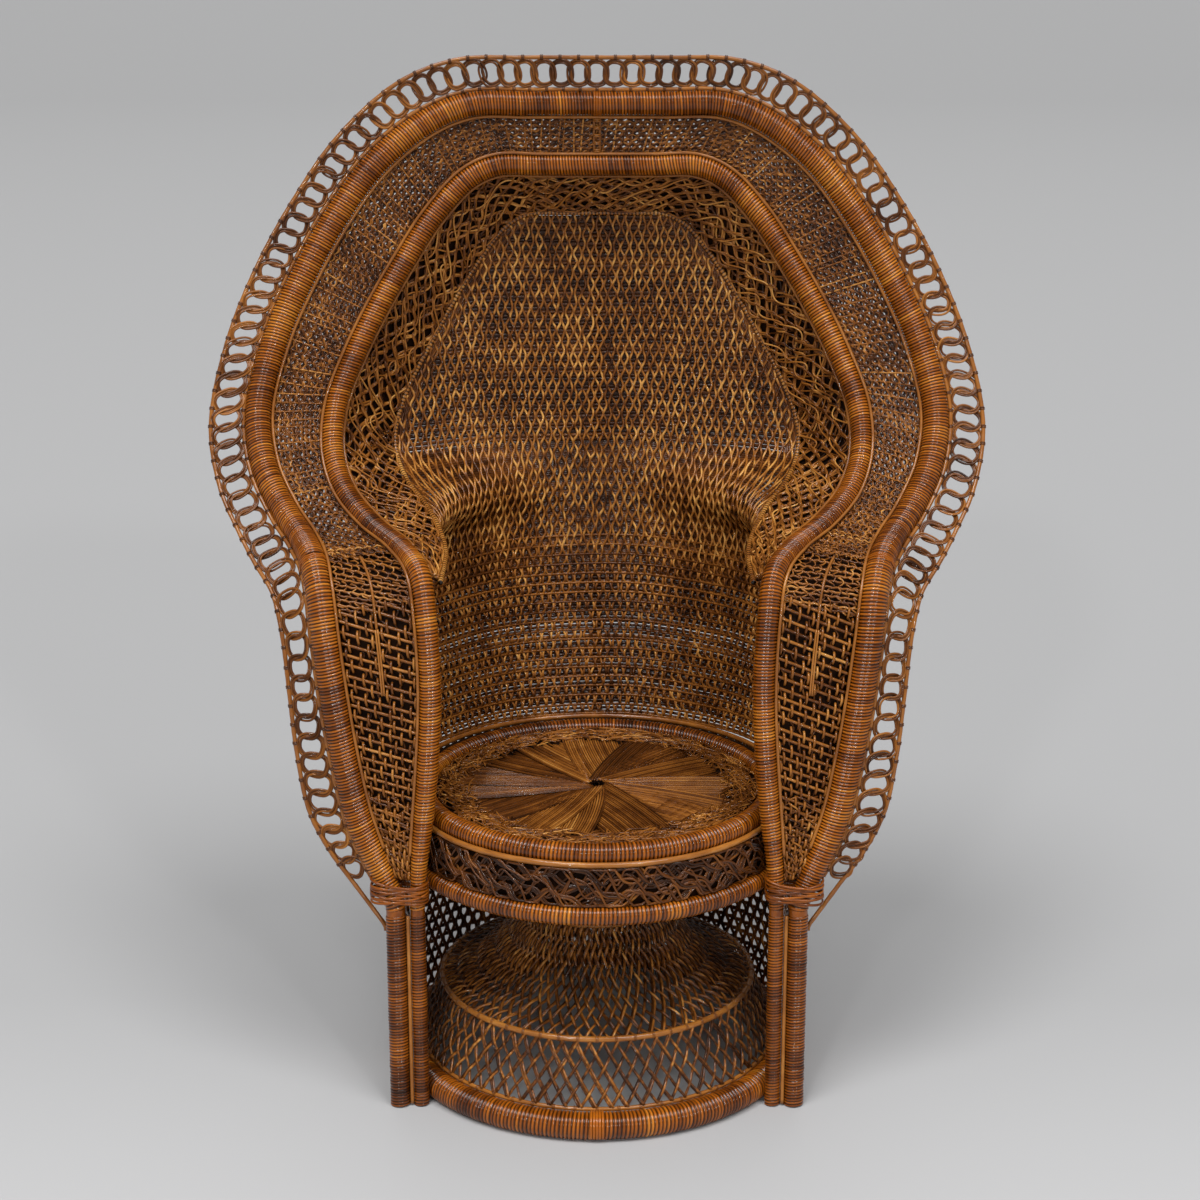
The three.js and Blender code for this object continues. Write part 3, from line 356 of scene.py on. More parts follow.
def beside(rail, inner, outer, station, across, front):
    """Points beside a rail, at a distance across the face, away from the seat, and another out of it."""
    along = rail.along(station)
    side = outer(station) - inner(station)
    side = unit(side - along * np.sum(along * side, -1, keepdims=True))
    across = np.broadcast_to(across, np.shape(station))[..., None]
    front = np.broadcast_to(front, np.shape(station))[..., None]
    return rail(station) + side * across + np.cross(along, side) * front


def even_stations(path, start, end, step):
    """Stations between two ends that lie one step apart along the path."""
    fine = np.linspace(start, end, 4000)
    lengths = ruler(path(fine))
    count = max(int(round(lengths[-1] / step)), 2)
    return np.interp(np.linspace(0, lengths[-1], count + 1), lengths, fine)


def ruler(points):
    """Lengths along a path, from its start to each of its points."""
    steps = np.linalg.norm(np.diff(points, axis=0), axis=1)
    return np.concatenate([[0], np.cumsum(steps)])


def read_at(points, lengths, marks):
    return np.column_stack([np.interp(marks, lengths, points[:, k]) for k in range(3)])


def resample(points, step):
    lengths = ruler(points)
    marks = np.linspace(0, lengths[-1], max(int(round(lengths[-1] / step)), 2) + 1)
    return read_at(points, lengths, marks)


def round_turns(count):
    return 2 * np.pi * np.arange(count) / count


def on_ring(radius, turns, height):
    """Points round the seat's axis."""
    x, y = radius * np.cos(turns), AXIS_Y + radius * np.sin(turns)
    return np.stack(np.broadcast_arrays(x, y, height), -1)


def circle(radius, height, steps):
    return on_ring(radius, round_turns(steps), height)


def box_of(node_name):
    """The low corner, the high corner and the middle of a node's box."""
    low, high = np.array(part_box(node_name))
    return low, high, (low + high) / 2


def carried_normals(points, first=(0, 0, 1)):
    """Normals along a path that are carried along it without a twist."""
    tangents = unit(np.gradient(points, axis=0))
    normal = np.array(first, float)
    if abs(normal @ tangents[0]) > 0.95:
        normal = np.array((1.0, 0, 0))
    normals = np.empty_like(points)
    for i, tangent in enumerate(tangents):
        normal = normal - tangent * (normal @ tangent)
        normal /= np.linalg.norm(normal)
        normals[i] = normal
    return normals


# Meshes

class Bundle:
    """Gathers the meshes of one piece, with where each point lies on its cane."""

    def __init__(self):
        self.points, self.quads, self.triangles, self.canes, self.grooves = [], [], [], [], []
        self.count = 0

    def add(self, points, quads, triangles, cane, groove=None):
        self.points.append(points)
        self.quads.append(quads + self.count)
        self.triangles.append(triangles + self.count)
        self.canes.append(cane)
        self.grooves.append(np.ones(len(points)) if groove is None else groove)
        self.count += len(points)

    def strands(self, paths, normals, width, height, tone, sides, closed=False):
        """Adds cords along many paths of equal length, flattened along their normals."""
        paths = np.asarray(paths, float)
        if paths.ndim == 2:
            paths = paths[None]
        count, steps, _ = paths.shape
        normals = np.broadcast_to(normals, paths.shape)
        if closed:
            tangents = unit(np.roll(paths, -1, 1) - np.roll(paths, 1, 1))
        else:
            tangents = unit(np.gradient(paths, axis=1))
        side = unit(np.cross(normals, tangents))
        up = np.cross(tangents, side)
        turns = round_turns(sides)
        wide = np.broadcast_to(width, (count, steps))[..., None, None] / 2
        high = np.broadcast_to(height, (count, steps))[..., None, None] / 2
        ring = (side[:, :, None] * np.cos(turns)[:, None] * wide
                + up[:, :, None] * np.sin(turns)[:, None] * high)
        points = paths[:, :, None] + ring
        gaps = np.linalg.norm(np.diff(paths, axis=1), axis=2)
        along = np.concatenate([np.zeros((count, 1)), np.cumsum(gaps, 1)], 1)
        cane = np.empty(points.shape)
        cane[..., 0] = along[..., None] + np.arange(count)[:, None, None] * 0.37
        cane[..., 1] = np.arange(sides) / sides
        tone = np.asarray(tone, float)
        tone = tone[..., None] if tone.ndim == 2 else tone.reshape(-1, 1, 1)
        cane[..., 2] = np.broadcast_to(tone, (count, steps, sides))
        quads, triangles = tube_faces(count, steps, sides, closed)
        self.add(points.reshape(-1, 3), quads, triangles, cane.reshape(-1, 3))

    def build(self, name, look, *nodes):
        """Makes the piece, rides it on the chair and lets it take the place of its CAD node."""
        material, slot = look
        points = np.concatenate(self.points)
        quads = np.concatenate(self.quads)
        triangles = np.concatenate(self.triangles)
        mesh = bpy.data.meshes.new(name)
        mesh.vertices.add(len(points))
        mesh.vertices.foreach_set("co", points.ravel())
        corners = np.concatenate([quads.ravel(), triangles.ravel()]).astype(np.int32)
        starts = np.concatenate([
            4 * np.arange(len(quads)), 4 * len(quads) + 3 * np.arange(len(triangles)),
        ]).astype(np.int32)
        mesh.loops.add(len(corners))
        mesh.loops.foreach_set("vertex_index", corners)
        mesh.polygons.add(len(starts))
        mesh.polygons.foreach_set("loop_start", starts)
        mesh.polygons.foreach_set("use_smooth", np.ones(len(starts), bool))
        mesh.update(calc_edges=True)
        cane = mesh.attributes.new("cane", "FLOAT_VECTOR", "POINT")
        cane.data.foreach_set("vector", np.concatenate(self.canes).ravel())
        groove = mesh.attributes.new("groove", "FLOAT", "POINT")
        groove.data.foreach_set("value", np.concatenate(self.grooves))
        mesh.materials.append(material)
        piece = bpy.data.objects.new(name, mesh)
        bpy.context.scene.collection.objects.link(piece)
        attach(piece, "root")
        if nodes:
            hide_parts(*nodes)


def tube_faces(count, steps, sides, closed):
    """Faces of equal tubes, whose points run tube by tube, ring by ring."""
    tube, ring, side = np.meshgrid(
        np.arange(count), np.arange(steps if closed else steps - 1), np.arange(sides), indexing="ij")
    after = (ring + 1) % steps
    beside_it = (side + 1) % sides

    def corner(r, s):
        return (tube * steps + r) * sides + s

    quads = np.stack([corner(ring, side), corner(ring, beside_it), corner(after, beside_it),
                      corner(after, side)], -1).reshape(-1, 4)
    if closed:
        return quads, np.empty((0, 3), int)
    first = (np.arange(count) * steps * sides)[:, None]
    last = first + (steps - 1) * sides
    spokes = np.arange(1, sides - 1)
    start = np.stack([np.broadcast_to(first, (count, sides - 2)), first + spokes + 1, first + spokes], -1)
    end = np.stack([np.broadcast_to(last, (count, sides - 2)), last + spokes, last + spokes + 1], -1)
    return quads, np.concatenate([start.reshape(-1, 3), end.reshape(-1, 3)])


def wrapped(bundle, points, radius, tone, spread=0.09, pitch=0.0046, sides=18, closed=False,
            first_normal=(0, 0, 1), flat=None):
    """Adds a bar wound round with reed: one bulged ring of it for each pitch of length."""
    lengths = ruler(points)
    count = max(int(round(lengths[-1] / pitch)), 3)
    wraps = (np.arange(count)[:, None] + np.array(WRAP_SHARES)) / count
    wraps[1:] += random.normal(0, WRAP_JITTER / count, (count - 1, 1))
    marks = np.sort(wraps.ravel()) * lengths[-1]
    rise = np.tile(WRAP_RISES, count)
    tone = np.interp(np.arange(count) / count * lengths[-1], lengths, np.broadcast_to(tone, len(points)))
    tone = dappled(np.arange(count), random.normal(tone, spread), WRAP_SWING, WRAP_PATCH)[0]
    tone = np.repeat(tone, len(WRAP_SHARES))
    swell = np.repeat(random.normal(0, WRAP_SWELL, count), len(WRAP_SHARES))
    if not closed:
        ends = ((marks, lengths[-1]), (rise, 0.0), (tone, tone[-1]), (swell, 0.0))
        marks, rise, tone, swell = (np.append(values, last) for values, last in ends)
    centre = read_at(points, lengths, marks)
    size = np.interp(marks, lengths, np.broadcast_to(radius, len(points)))
    if closed:
        tangents = unit(np.roll(centre, -1, 0) - np.roll(centre, 1, 0))
        normals = np.broadcast_to(np.array(first_normal, float), centre.shape)
    else:
        tangents = unit(np.gradient(centre, axis=0))
        normals = carried_normals(centre, first_normal)
    others = np.cross(tangents, normals)
    turns = round_turns(sides)
    reach = size * (1 - WRAP_DEPTH + WRAP_DEPTH * rise) * (1 + swell * rise)
    lean = WRAP_TILT * (1 + 0.5 * np.sin(marks * 9)) * size
    skin = (centre[:, None] + normals[:, None] * (reach[:, None] * np.cos(turns))[..., None]
            + others[:, None] * (reach[:, None] * np.sin(turns))[..., None]
            + tangents[:, None] * (lean[:, None] * np.cos(turns - 0.6))[..., None])
    if flat is not None:
        skin[..., 2] = np.maximum(skin[..., 2], flat)
    cane = np.empty(skin.shape)
    cane[..., 0] = turns * size[:, None]
    cane[..., 1] = (marks / pitch)[:, None]
    cane[..., 2] = tone[:, None]
    quads, triangles = tube_faces(1, len(marks), sides, closed)
    bundle.add(skin.reshape(-1, 3), quads, triangles, cane.reshape(-1, 3), np.repeat(rise ** 2, sides))


def rod(bundle, points, radius, tone, sides=8, knot_step=0.09, closed=False):
    """Adds a thin smooth cane with a faint swelling at each of its knots."""
    points = points if closed else resample(points, 0.006)
    lengths = ruler(points)
    count = max(int(lengths[-1] / knot_step), 1)
    knots = (np.arange(count) + random.uniform(0.2, 0.8, count)) * lengths[-1] / count
    near = np.min(np.abs(lengths[:, None] - knots), axis=1)
    width = 2 * radius * (1 + KNOT_SWELL * np.exp(-(near / KNOT_LENGTH) ** 2))
    bundle.strands(points, carried_normals(points), width, width, tone, sides, closed)


def rod_piece(name, node_name, points, radius, tone, **form):
    bundle = Bundle()
    rod(bundle, points, radius, tone, **form)
    bundle.build(name, ROD, node_name)


def bindings(bundle, centres, alongs, radius, thickness=0.0016, tone=0.12, gap=0.0026, count=2):
    """Adds small loops of reed tied round a rod."""
    turns = round_turns(10)[:, None]
    first = unit(np.cross(alongs, np.array((0.13, 0.2, 1.0))))
    second = np.cross(alongs, first)
    spread = first[:, None] * np.cos(turns) + second[:, None] * np.sin(turns)
    for k in range(count):
        shift = (k - (count - 1) / 2) * gap
        paths = (centres + alongs * shift)[:, None] + spread * (radius + thickness / 3)
        outward = unit(paths - centres[:, None])
        bundle.strands(paths, outward, thickness * 1.5, thickness, tone, 5, closed=True)


def knot(bundle, rail, radius, station, thickness, tone, count=2):
    """Adds loops of reed round a roll at one station."""
    station = np.array([station])
    bindings(bundle, rail(station), rail.along(station), radius(station)[0], thickness, tone, KNOT_GAP, count)


# Materials

def feed(tree, inputs, values):
    """Links each input to the socket that is given for it, or sets it to the value."""
    for key, value in values.items():
        if isinstance(value, bpy.types.NodeSocket):
            tree.links.new(value, inputs[key])
        else:
            inputs[key].default_value = value


def node(tree, kind, values, **settings):
    made = tree.nodes.new("ShaderNode" + kind)
    for key, value in settings.items():
        setattr(made, key, value)
    feed(tree, made.inputs, values)
    return made


def ramp(tree, stops, value):
    """Gives the colour of a ramp at a value."""
    colours = node(tree, "ValToRGB", {0: value})
    elements = colours.color_ramp.elements
    while len(elements) < len(stops):
        elements.new(0.5)
    for element, (position, colour) in zip(elements, stops):
        element.position = position
        element.color = (*colour, 1)
    return colours.outputs[0]


def blank_material(name):
    material = bpy.data.materials.new(name)
    material.use_nodes = True
    return material, material.node_tree


def rattan(name, stops, roughness=0.28, coat=0.46, specular=0.20):
    """Varnished cane: tone by strand, streaks along it, painted shade in its grooves and a clear coat."""
    material, tree = blank_material(name)
    cane = node(tree, "Attribute", {}, attribute_name="cane").outputs["Vector"]
    groove = node(tree, "Attribute", {}, attribute_name="groove").outputs["Fac"]
    tone = node(tree, "SeparateXYZ", {0: cane}).outputs["Z"]
    place = node(tree, "Mapping", {"Vector": cane, "Scale": FIBRE_SCALE}).outputs[0]
    fibre = node(tree, "TexNoise", {"Vector": place, "Scale": 1.0, "Detail": 3.0}).outputs["Fac"]
    where = node(tree, "TexCoord", {}).outputs["Object"]
    patch = node(tree, "TexNoise", {"Vector": where, "Scale": PATCH_SCALE, "Detail": 3.0}).outputs["Fac"]
    for source, strength in ((fibre, STREAK_STRENGTH), (patch, PATCH_STRENGTH)):
        tone = node(tree, "Math", {0: source, 1: strength, 2: tone}, operation="MULTIPLY_ADD").outputs[0]
    middle = (STREAK_STRENGTH + PATCH_STRENGTH) / 2
    tone = node(tree, "Math", {0: tone, 1: middle}, operation="SUBTRACT").outputs[0]
    # Painted shade: the colour darkens towards the low rings of each wrap, in its grooves.
    depth = node(tree, "MapRange", {"Value": groove, "To Min": GROOVE_PAINTED_SHADE}).outputs[0]
    shade = node(tree, "Mix", {}, data_type="RGBA", blend_type="MULTIPLY")
    feed(tree, shade.inputs, {"Factor": 1.0, 6: ramp(tree, stops, tone), 7: depth})
    bump = node(tree, "Bump", {"Height": fibre, "Strength": 0.20, "Distance": 0.0006}).outputs[0]
    feed(tree, tree.nodes["Principled BSDF"].inputs, {
        "Base Color": shade.outputs[2], "Normal": bump, "Roughness": roughness,
        "Specular IOR Level": specular, "Coat Weight": coat, "Coat Roughness": 0.09,
    })
    return material


# Each look is a material, by stops of tone and colour from dark to light, with its slot
WRAPPED = rattan("wrapped_reed", (
    (0.0, (0.040, 0.009, 0.0008)), (0.30, (0.155, 0.036, 0.0024)),
    (0.62, (0.390, 0.104, 0.0060)), (1.0, (0.68, 0.25, 0.026)),
), coat=0.62, specular=0.08), "wrapped_rattan"
WOVEN = rattan("woven_cane", (
    (0.0, (0.028, 0.008, 0.0015)), (0.30, (0.120, 0.036, 0.006)),
    (0.62, (0.330, 0.118, 0.019)), (1.0, (0.68, 0.34, 0.085)),
), coat=0.34, specular=0.15), "woven_rattan"
ROD = rattan("rod_cane", (
    (0.0, (0.050, 0.015, 0.003)), (0.35, (0.180, 0.056, 0.010)),
    (0.65, (0.370, 0.135, 0.022)), (1.0, (0.64, 0.31, 0.075)),
), roughness=0.26), "rattan_rod"
# A near-black look for sheets behind the weaves: painted shade where light doesn't reach into them
DARK = rattan("painted_shade_sheet", (
    (0.0, (0.008, 0.003, 0.001)), (0.35, (0.022, 0.007, 0.002)),
    (0.65, (0.055, 0.018, 0.005)), (1.0, (0.13, 0.05, 0.014)),
), roughness=0.8, coat=0.0, specular=0.1), "woven_rattan"


# Rolls, rings, posts and rods

def rolls():
    foot = ARM_ROLL_FOOT_STATION
    for name, node_name, rail, radius, start, end in (
        ("inner_roll_wrap", "back_inner_roll", inner_rail, inner_radius, -foot, foot),
        ("outer_roll_wrap", "back_outer_roll", outer_rail, outer_radius, *FAN_SPAN),
        ("left_arm_roll_wrap", "left_arm_outer_roll", outer_rail, outer_radius, -foot, -ELBOW_STATION),
        ("right_arm_roll_wrap", "right_arm_outer_roll", outer_rail, outer_radius, ELBOW_STATION, foot),
    ):
        stations = np.linspace(start, end, 2400)
        bundle = Bundle()
        # Painted shade: the inner roll is toned darker round each elbow. The outer roll is toned darker round
        # its crown.
        from_elbow = (np.abs(stations) - SHADED_ELBOW_STATION) / SHADED_ELBOW_REACH
        elbow = np.exp(-from_elbow ** 2) * (rail is inner_rail)
        crown = np.exp(-(stations / DARK_CROWN_REACH) ** 2) * (rail is outer_rail)
        wrapped(bundle, rail(stations), radius(stations), 0.57 - 0.19 * elbow - 0.10 * crown)
        if "arm" in name:
            knot(bundle, rail, radius, np.sign(start) * (ELBOW_STATION + 0.08), 0.0024, 0.52)
        if name == "outer_roll_wrap":
            knot(bundle, rail, radius, 0.0, 0.0022, 0.42, 3)
        for station in (start, end):
            if abs(station) == foot:
                bare_foot(bundle, rail, radius, station)
        bundle.build(name, WRAPPED, node_name)


def bare_foot(bundle, rail, radius, station):
    """Adds the foot of a roll's cane, from the end of its reed down to the post."""
    stations = np.linspace(station, np.sign(station) * rail.last, 20)
    width = 2 * radius(stations) * 0.94
    bundle.strands(rail(stations), (0, -1, 0), width, width, 0.42, 12)


def rings():
    base_height = BASE_RING_DIAMETER / 2 - BASE_RING_FLAT
    for name, radius, height, size, flat in (
        ("base_ring", BASE_RING_RADIUS, base_height, BASE_RING_DIAMETER, 0.0),
        ("seat_ring", SEAT_RING_RADIUS, SEAT_HEIGHT, SEAT_RING_DIAMETER, None),
        ("apron_ring", APRON_RING_RADIUS, APRON_RING_HEIGHT, APRON_RING_DIAMETER, None),
    ):
        bundle = Bundle()
        points = circle(radius, height, 720)
        points = np.vstack([points, points[:1]])
        # Painted shade: the seat ring is toned darker towards its back, where the back panel stands over it.
        behind = smoothstep(points[:, 1], AXIS_Y, AXIS_Y + radius) * (name == "seat_ring")
        wrapped(bundle, points, size / 2, 0.54 - 0.28 * behind, pitch=RING_PITCH, closed=True, flat=flat)
        if name == "base_ring":
            front_strap(bundle, radius, height, size / 2)
        bundle.build(f"{name}_wrap", WRAPPED, name)


def front_strap(bundle, ring_radius, height, size):
    """Adds reed over the base ring's joint at the front, from its outer side over the top and down inside."""
    turns = np.radians(np.linspace(-42, 222, 24))
    reed = 0.0040
    for k in range(5):
        angle = -np.pi / 2 + (k - 2) * reed / ring_radius
        outward = np.array((np.cos(angle), np.sin(angle), 0.0))
        spread = np.cos(turns)[:, None] * outward + np.sin(turns)[:, None] * np.array((0, 0, 1.0))
        centre = outward * ring_radius + (0, AXIS_Y, height)
        bundle.strands(centre + spread * size, spread, reed, 0.0022, 0.62, 6)


def posts():
    line = np.linspace(0.0, POST_TOP, 200)
    for name, side in SIDES:
        for part, x, diameter in (("inner_post", POST_HALF_SPAN, POST_DIAMETER),
                                  ("outer_leg", POST_HALF_SPAN + LEG_SPACING, LEG_DIAMETER)):
            bundle = Bundle()
            points = np.column_stack([np.full(200, side * x), np.full(200, AXIS_Y + POST_DEPTH), line])
            wrapped(bundle, points, diameter / 2, 0.42, 0.08, first_normal=(0, -1, 0), flat=0.0)
            bundle.build(f"{name}_{part}_wrap", WRAPPED, f"{name}_{part}")
        low, high, (x, y, _) = box_of(f"{name}_leg_rod")
        points = np.array([[x, y, low[2]], [x, y, high[2]]])
        rod_piece(f"{name}_leg_rod_cane", f"{name}_leg_rod", points, LEG_ROD_DIAMETER / 2, 0.62)


def rail_rods():
    fan = np.linspace(*FAN_SPAN, 1200)
    full = np.linspace(-ARM_END_STATION, ARM_END_STATION, 1600)
    size = TRIM_ROD_DIAMETER * TRIM_CANE_SHARE
    bundle = Bundle()
    points = frame_rail(np.linspace(-FRAME_END_STATION, FRAME_END_STATION, 2400))
    wrapped(bundle, points, FRAME_ROD_DIAMETER / 2, 0.66, 0.07, pitch=RING_PITCH, sides=10)
    bundle.build("frame_rod_cane", ROD, "back_frame_rod")
    for name, rail, inner, outer, radius, stations, side in (
        ("inner_roll_inner_rod", inner_rail, frame_rail, inner_rail, inner_radius, fan, -1),
        ("inner_roll_outer_rod", inner_rail, inner_rail, outer_rail, inner_radius, full, 1),
        ("outer_roll_inner_rod", outer_rail, inner_rail, outer_rail, outer_radius, full, -1),
    ):
        across = side * np.sqrt((radius(stations) + size) ** 2 - TRIM_RISE ** 2)
        points = beside(rail, inner, outer, stations, across, TRIM_RISE)
        rod_piece(f"{name}_cane", name, points, size, 0.50, knot_step=0.05)


# Lace border

def lace_inner(station, tuck=0.0):
    reach = outer_radius(station) + LACE_ROD_DIAMETER / 2 + CLEARANCE - tuck
    return beside(outer_rail, outer_rail, lace_rail, station, reach, 0.0)


def squared(value, power):
    """Draws a sine or cosine out a little, so that a circle becomes fuller at its corners."""
    return np.sign(value) * np.abs(value) ** power


# Strands of one ring of lace: how much shorter and lower than the first, and the rise
LACE_STRANDS = ((0.0, 0.0, 0.0006), (0.0024, 0.0020, -0.0006), (0.0048, 0.0040, 0.0004))


def lace_rings(bundle, middles):
    """Adds interlocked rings of three strands between the two lace rods."""
    low, high = lace_inner(middles), lace_rail(middles)
    centre = (low + high) / 2
    line = unit(high - low)
    along = unit(lace_rail.along(middles) - line * np.sum(lace_rail.along(middles) * line, -1, keepdims=True))
    front = np.cross(along, line)
    half = np.linalg.norm(high - low, axis=1) / 2 - LACE_ROD_DIAMETER / 2
    count = len(middles)
    pitches = np.linalg.norm(np.gradient(centre, axis=0), axis=1)
    turns = round_turns(36)
    across, up = squared(np.cos(turns), LACE_FULLNESS), squared(np.sin(turns), LACE_FULLNESS)
    for shrink, drop, lift in LACE_STRANDS:
        long = LACE_RING_REACH * pitches - shrink + random.normal(0, 0.0004, count)
        tall = half - LACE_RING_GAP - drop + random.normal(0, 0.0003, count)
        slip = random.normal(0, 0.0006, (count, 1))
        paths = (centre[:, None]
                 + along[:, None] * (long[:, None] * across + slip)[..., None]
                 + line[:, None] * (tall[:, None] * up)[..., None]
                 + front[:, None] * (LACE_TWIST * np.sin(2 * turns) + lift)[:, None])
        tones = shades(0.34, 0.11, count)
        bundle.strands(paths, front[:, None], LACE_REED_WIDTH, LACE_REED_HEIGHT, tones, 6, closed=True)


def with_curl(line, side):
    """Leads the foot of an arm's outer lace rod round to the side of the leg."""
    line = line[::side]
    drop, lead, lift = 0.016, 0.010, 0.008
    leg = np.array((side * (POST_HALF_SPAN + LEG_SPACING), AXIS_Y + POST_DEPTH))
    away = unit(line[-1, :2] - leg)
    end = np.append(leg + away * (LEG_DIAMETER + LACE_ROD_DIAMETER) / 2, line[-1, 2] - drop)
    ahead = line[-1] + unit(line[-1] - line[-20]) * lead
    share = np.linspace(0, 1, 14)[1:, None]
    curl = ((1 - share) ** 3 * line[-1] + 3 * share * (1 - share) ** 2 * ahead
            + 3 * share ** 2 * (1 - share) * (end + (0, 0, lift)) + share ** 3 * end)
    return np.vstack([line, curl])


def lace():
    for name, start, end, side in (("back", -LACE_SPLIT_STATION, LACE_SPLIT_STATION, 0),
                                   ("left_arm", -LACE_END_STATION, -LACE_SPLIT_STATION, -1),
                                   ("right_arm", LACE_SPLIT_STATION, LACE_END_STATION, 1)):
        ties = even_stations(lace_rail, start, end, LACE_PITCH)
        middles = (ties[1:] + ties[:-1]) / 2
        bundle = Bundle()
        lace_rings(bundle, middles)
        bundle.build(f"{name}_lace_rings", WOVEN, f"{name}_lace_border")
        outer_start = -lace_rail.last if side < 0 else start
        outer_end = lace_rail.last if side > 0 else end
        for part, path, first, last in (("inner", lambda s: lace_inner(s, LACE_TUCK), start, end),
                                        ("outer", lace_rail, outer_start, outer_end)):
            bundle = Bundle()
            line = path(np.linspace(first, last, 900))
            if part == "outer" and side:
                line = with_curl(line, side)
            rod(bundle, line, LACE_ROD_DIAMETER / 2, 0.50, knot_step=LACE_PITCH)
            alongs = unit(path(middles + 1e-3) - path(middles - 1e-3))
            bindings(bundle, path(middles), alongs, LACE_ROD_DIAMETER / 2)
            bundle.build(f"{name}_lace_{part}_rod_cane", ROD, f"{name}_lace_{part}_rod")


# Woven bands between two rails

class Band:
    """The woven face between the surfaces of two rolls."""

    def __init__(self, inner, outer, inner_size, outer_size):
        self.inner, self.outer, self.inner_size, self.outer_size = inner, outer, inner_size, outer_size

    def at(self, station, share, rise):
        station, share, rise = np.broadcast_arrays(station, share, rise)
        low, high = self.inner(station), self.outer(station)
        line = unit(high - low)
        low = low + line * self.inner_size(station)[..., None]
        high = high - line * self.outer_size(station)[..., None]
        front = unit(np.cross(self.inner.along(station), line))
        return low + (high - low) * share[..., None] + front * rise[..., None], front

    def middle(self, station):
        return self.at(station, 0.5, 0.0)[0]

    def width(self, station):
        return np.linalg.norm(self.at(station, 1.0, 0.0)[0] - self.at(station, 0.0, 0.0)[0], axis=-1)


def sheet(bundle, points, normals, thickness, tone=0.15):
    """Adds a thin closed sheet from a grid of points and normals."""
    across, down, _ = points.shape
    size = across * down
    grid = np.arange(size).reshape(across, down)
    a, b, c, d = grid[:-1, :-1], grid[1:, :-1], grid[1:, 1:], grid[:-1, 1:]
    face = np.stack([a, b, c, d], -1).reshape(-1, 4)
    edge = np.concatenate([grid[:, 0], grid[-1, 1:], grid[-2::-1, -1], grid[0, -2:0:-1]])
    after = np.roll(edge, -1)
    rim = np.stack([edge, edge + size, after + size, after], -1)
    lift = normals * thickness / 2
    both = np.concatenate([(points + lift).reshape(-1, 3), (points - lift).reshape(-1, 3)])
    cane = np.column_stack([both[:, :2], np.full(2 * size, tone)])
    bundle.add(both, np.concatenate([face, face[:, ::-1] + size, rim]), np.empty((0, 3), int), cane)


# Adds a near-black sheet behind a band's weave, a painted shade.
def band_sheet(name, node_name, band, span, thickness, shares, rise, steps):
    bundle = Bundle()
    share = np.linspace(*shares, 5)[None]
    sheet(bundle, *band.at(np.linspace(*span, steps)[:, None], share, rise), thickness)
    bundle.build(name, DARK, node_name)


def dappled(marks, tone, swing, step):
    """Tones along one cord that change from one stretch to the next."""
    knots = np.arange(marks[0], marks[-1] + 2 * step, step)
    return np.clip(tone + np.interp(marks, knots, random.normal(0, swing, len(knots))), 0, 1)[None]


def shades(tone, spread, count=None):
    return np.clip(random.normal(tone, spread, count), 0, 1)


def runs(inside, least):
    """Gives the first place of each run of true values that is long enough, and the place after it."""
    edges = np.flatnonzero(np.diff(np.concatenate([[0], inside.astype(int), [0]])))
    return [(first, last) for first, last in edges.reshape(-1, 2) if last - first >= least]


def lengthwise(bundle, band, span, cord, rows, wave, length, step=0.004, twist=0.0, shift=0.0, wander=0.7):
    """Adds wavy cords along a band, neighbours bending against each other."""
    stations = even_stations(band.middle, *span, step)
    marks = ruler(band.middle(stations))
    width = band.width(stations)
    row = np.arange(rows)[:, None]
    drift = random.uniform(0, 2 * np.pi, (rows, 1))
    phase = 2 * np.pi * marks / length + np.pi * row + shift + wander * np.sin(marks / (0.7 * length) + drift)
    swing = 1 + 0.4 * np.sin(marks / (0.45 * length) + 2 * drift)
    share = (row + 0.5) / rows + wave * swing * np.sin(phase) / rows
    edge = cord.thickness / 2 / np.maximum(width, 4 * cord.thickness)
    points, normals = band.at(stations, np.clip(share, edge, 1 - edge), cord.rise + twist * np.cos(phase))
    size = np.minimum(cord.thickness, np.maximum(width, 0.004) * 0.4)
    tones = np.vstack([dappled(marks, cord.tone, 0.18, length / 3) for _ in range(rows)])
    bundle.strands(points, normals, size, size, tones, 5)


def crosswise(bundle, band, span, cord, pitch, lean=0.0, bend=0.0, steps=14):
    """Adds short cords across a band, one for each pitch of its length."""
    stations = even_stations(band.middle, *span, pitch)
    gap = stations[1] - stations[0]
    stations = stations[:-1] + gap * random.uniform(0.3, 0.7, len(stations) - 1)
    count = len(stations)
    slant = gap * (lean / pitch + random.normal(0, 0.12, count))
    share = np.linspace(0, 1, steps)[None]
    place = stations[:, None] + slant[:, None] * (share - 0.5)
    wave = cord.rise + bend * np.sin(share * np.pi * (steps / 2) + np.arange(count)[:, None] * np.pi)
    points, normals = band.at(np.clip(place, *span), share, wave)
    bundle.strands(points, normals, cord.thickness, cord.thickness * 0.85, shades(cord.tone, 0.15, count), 5)


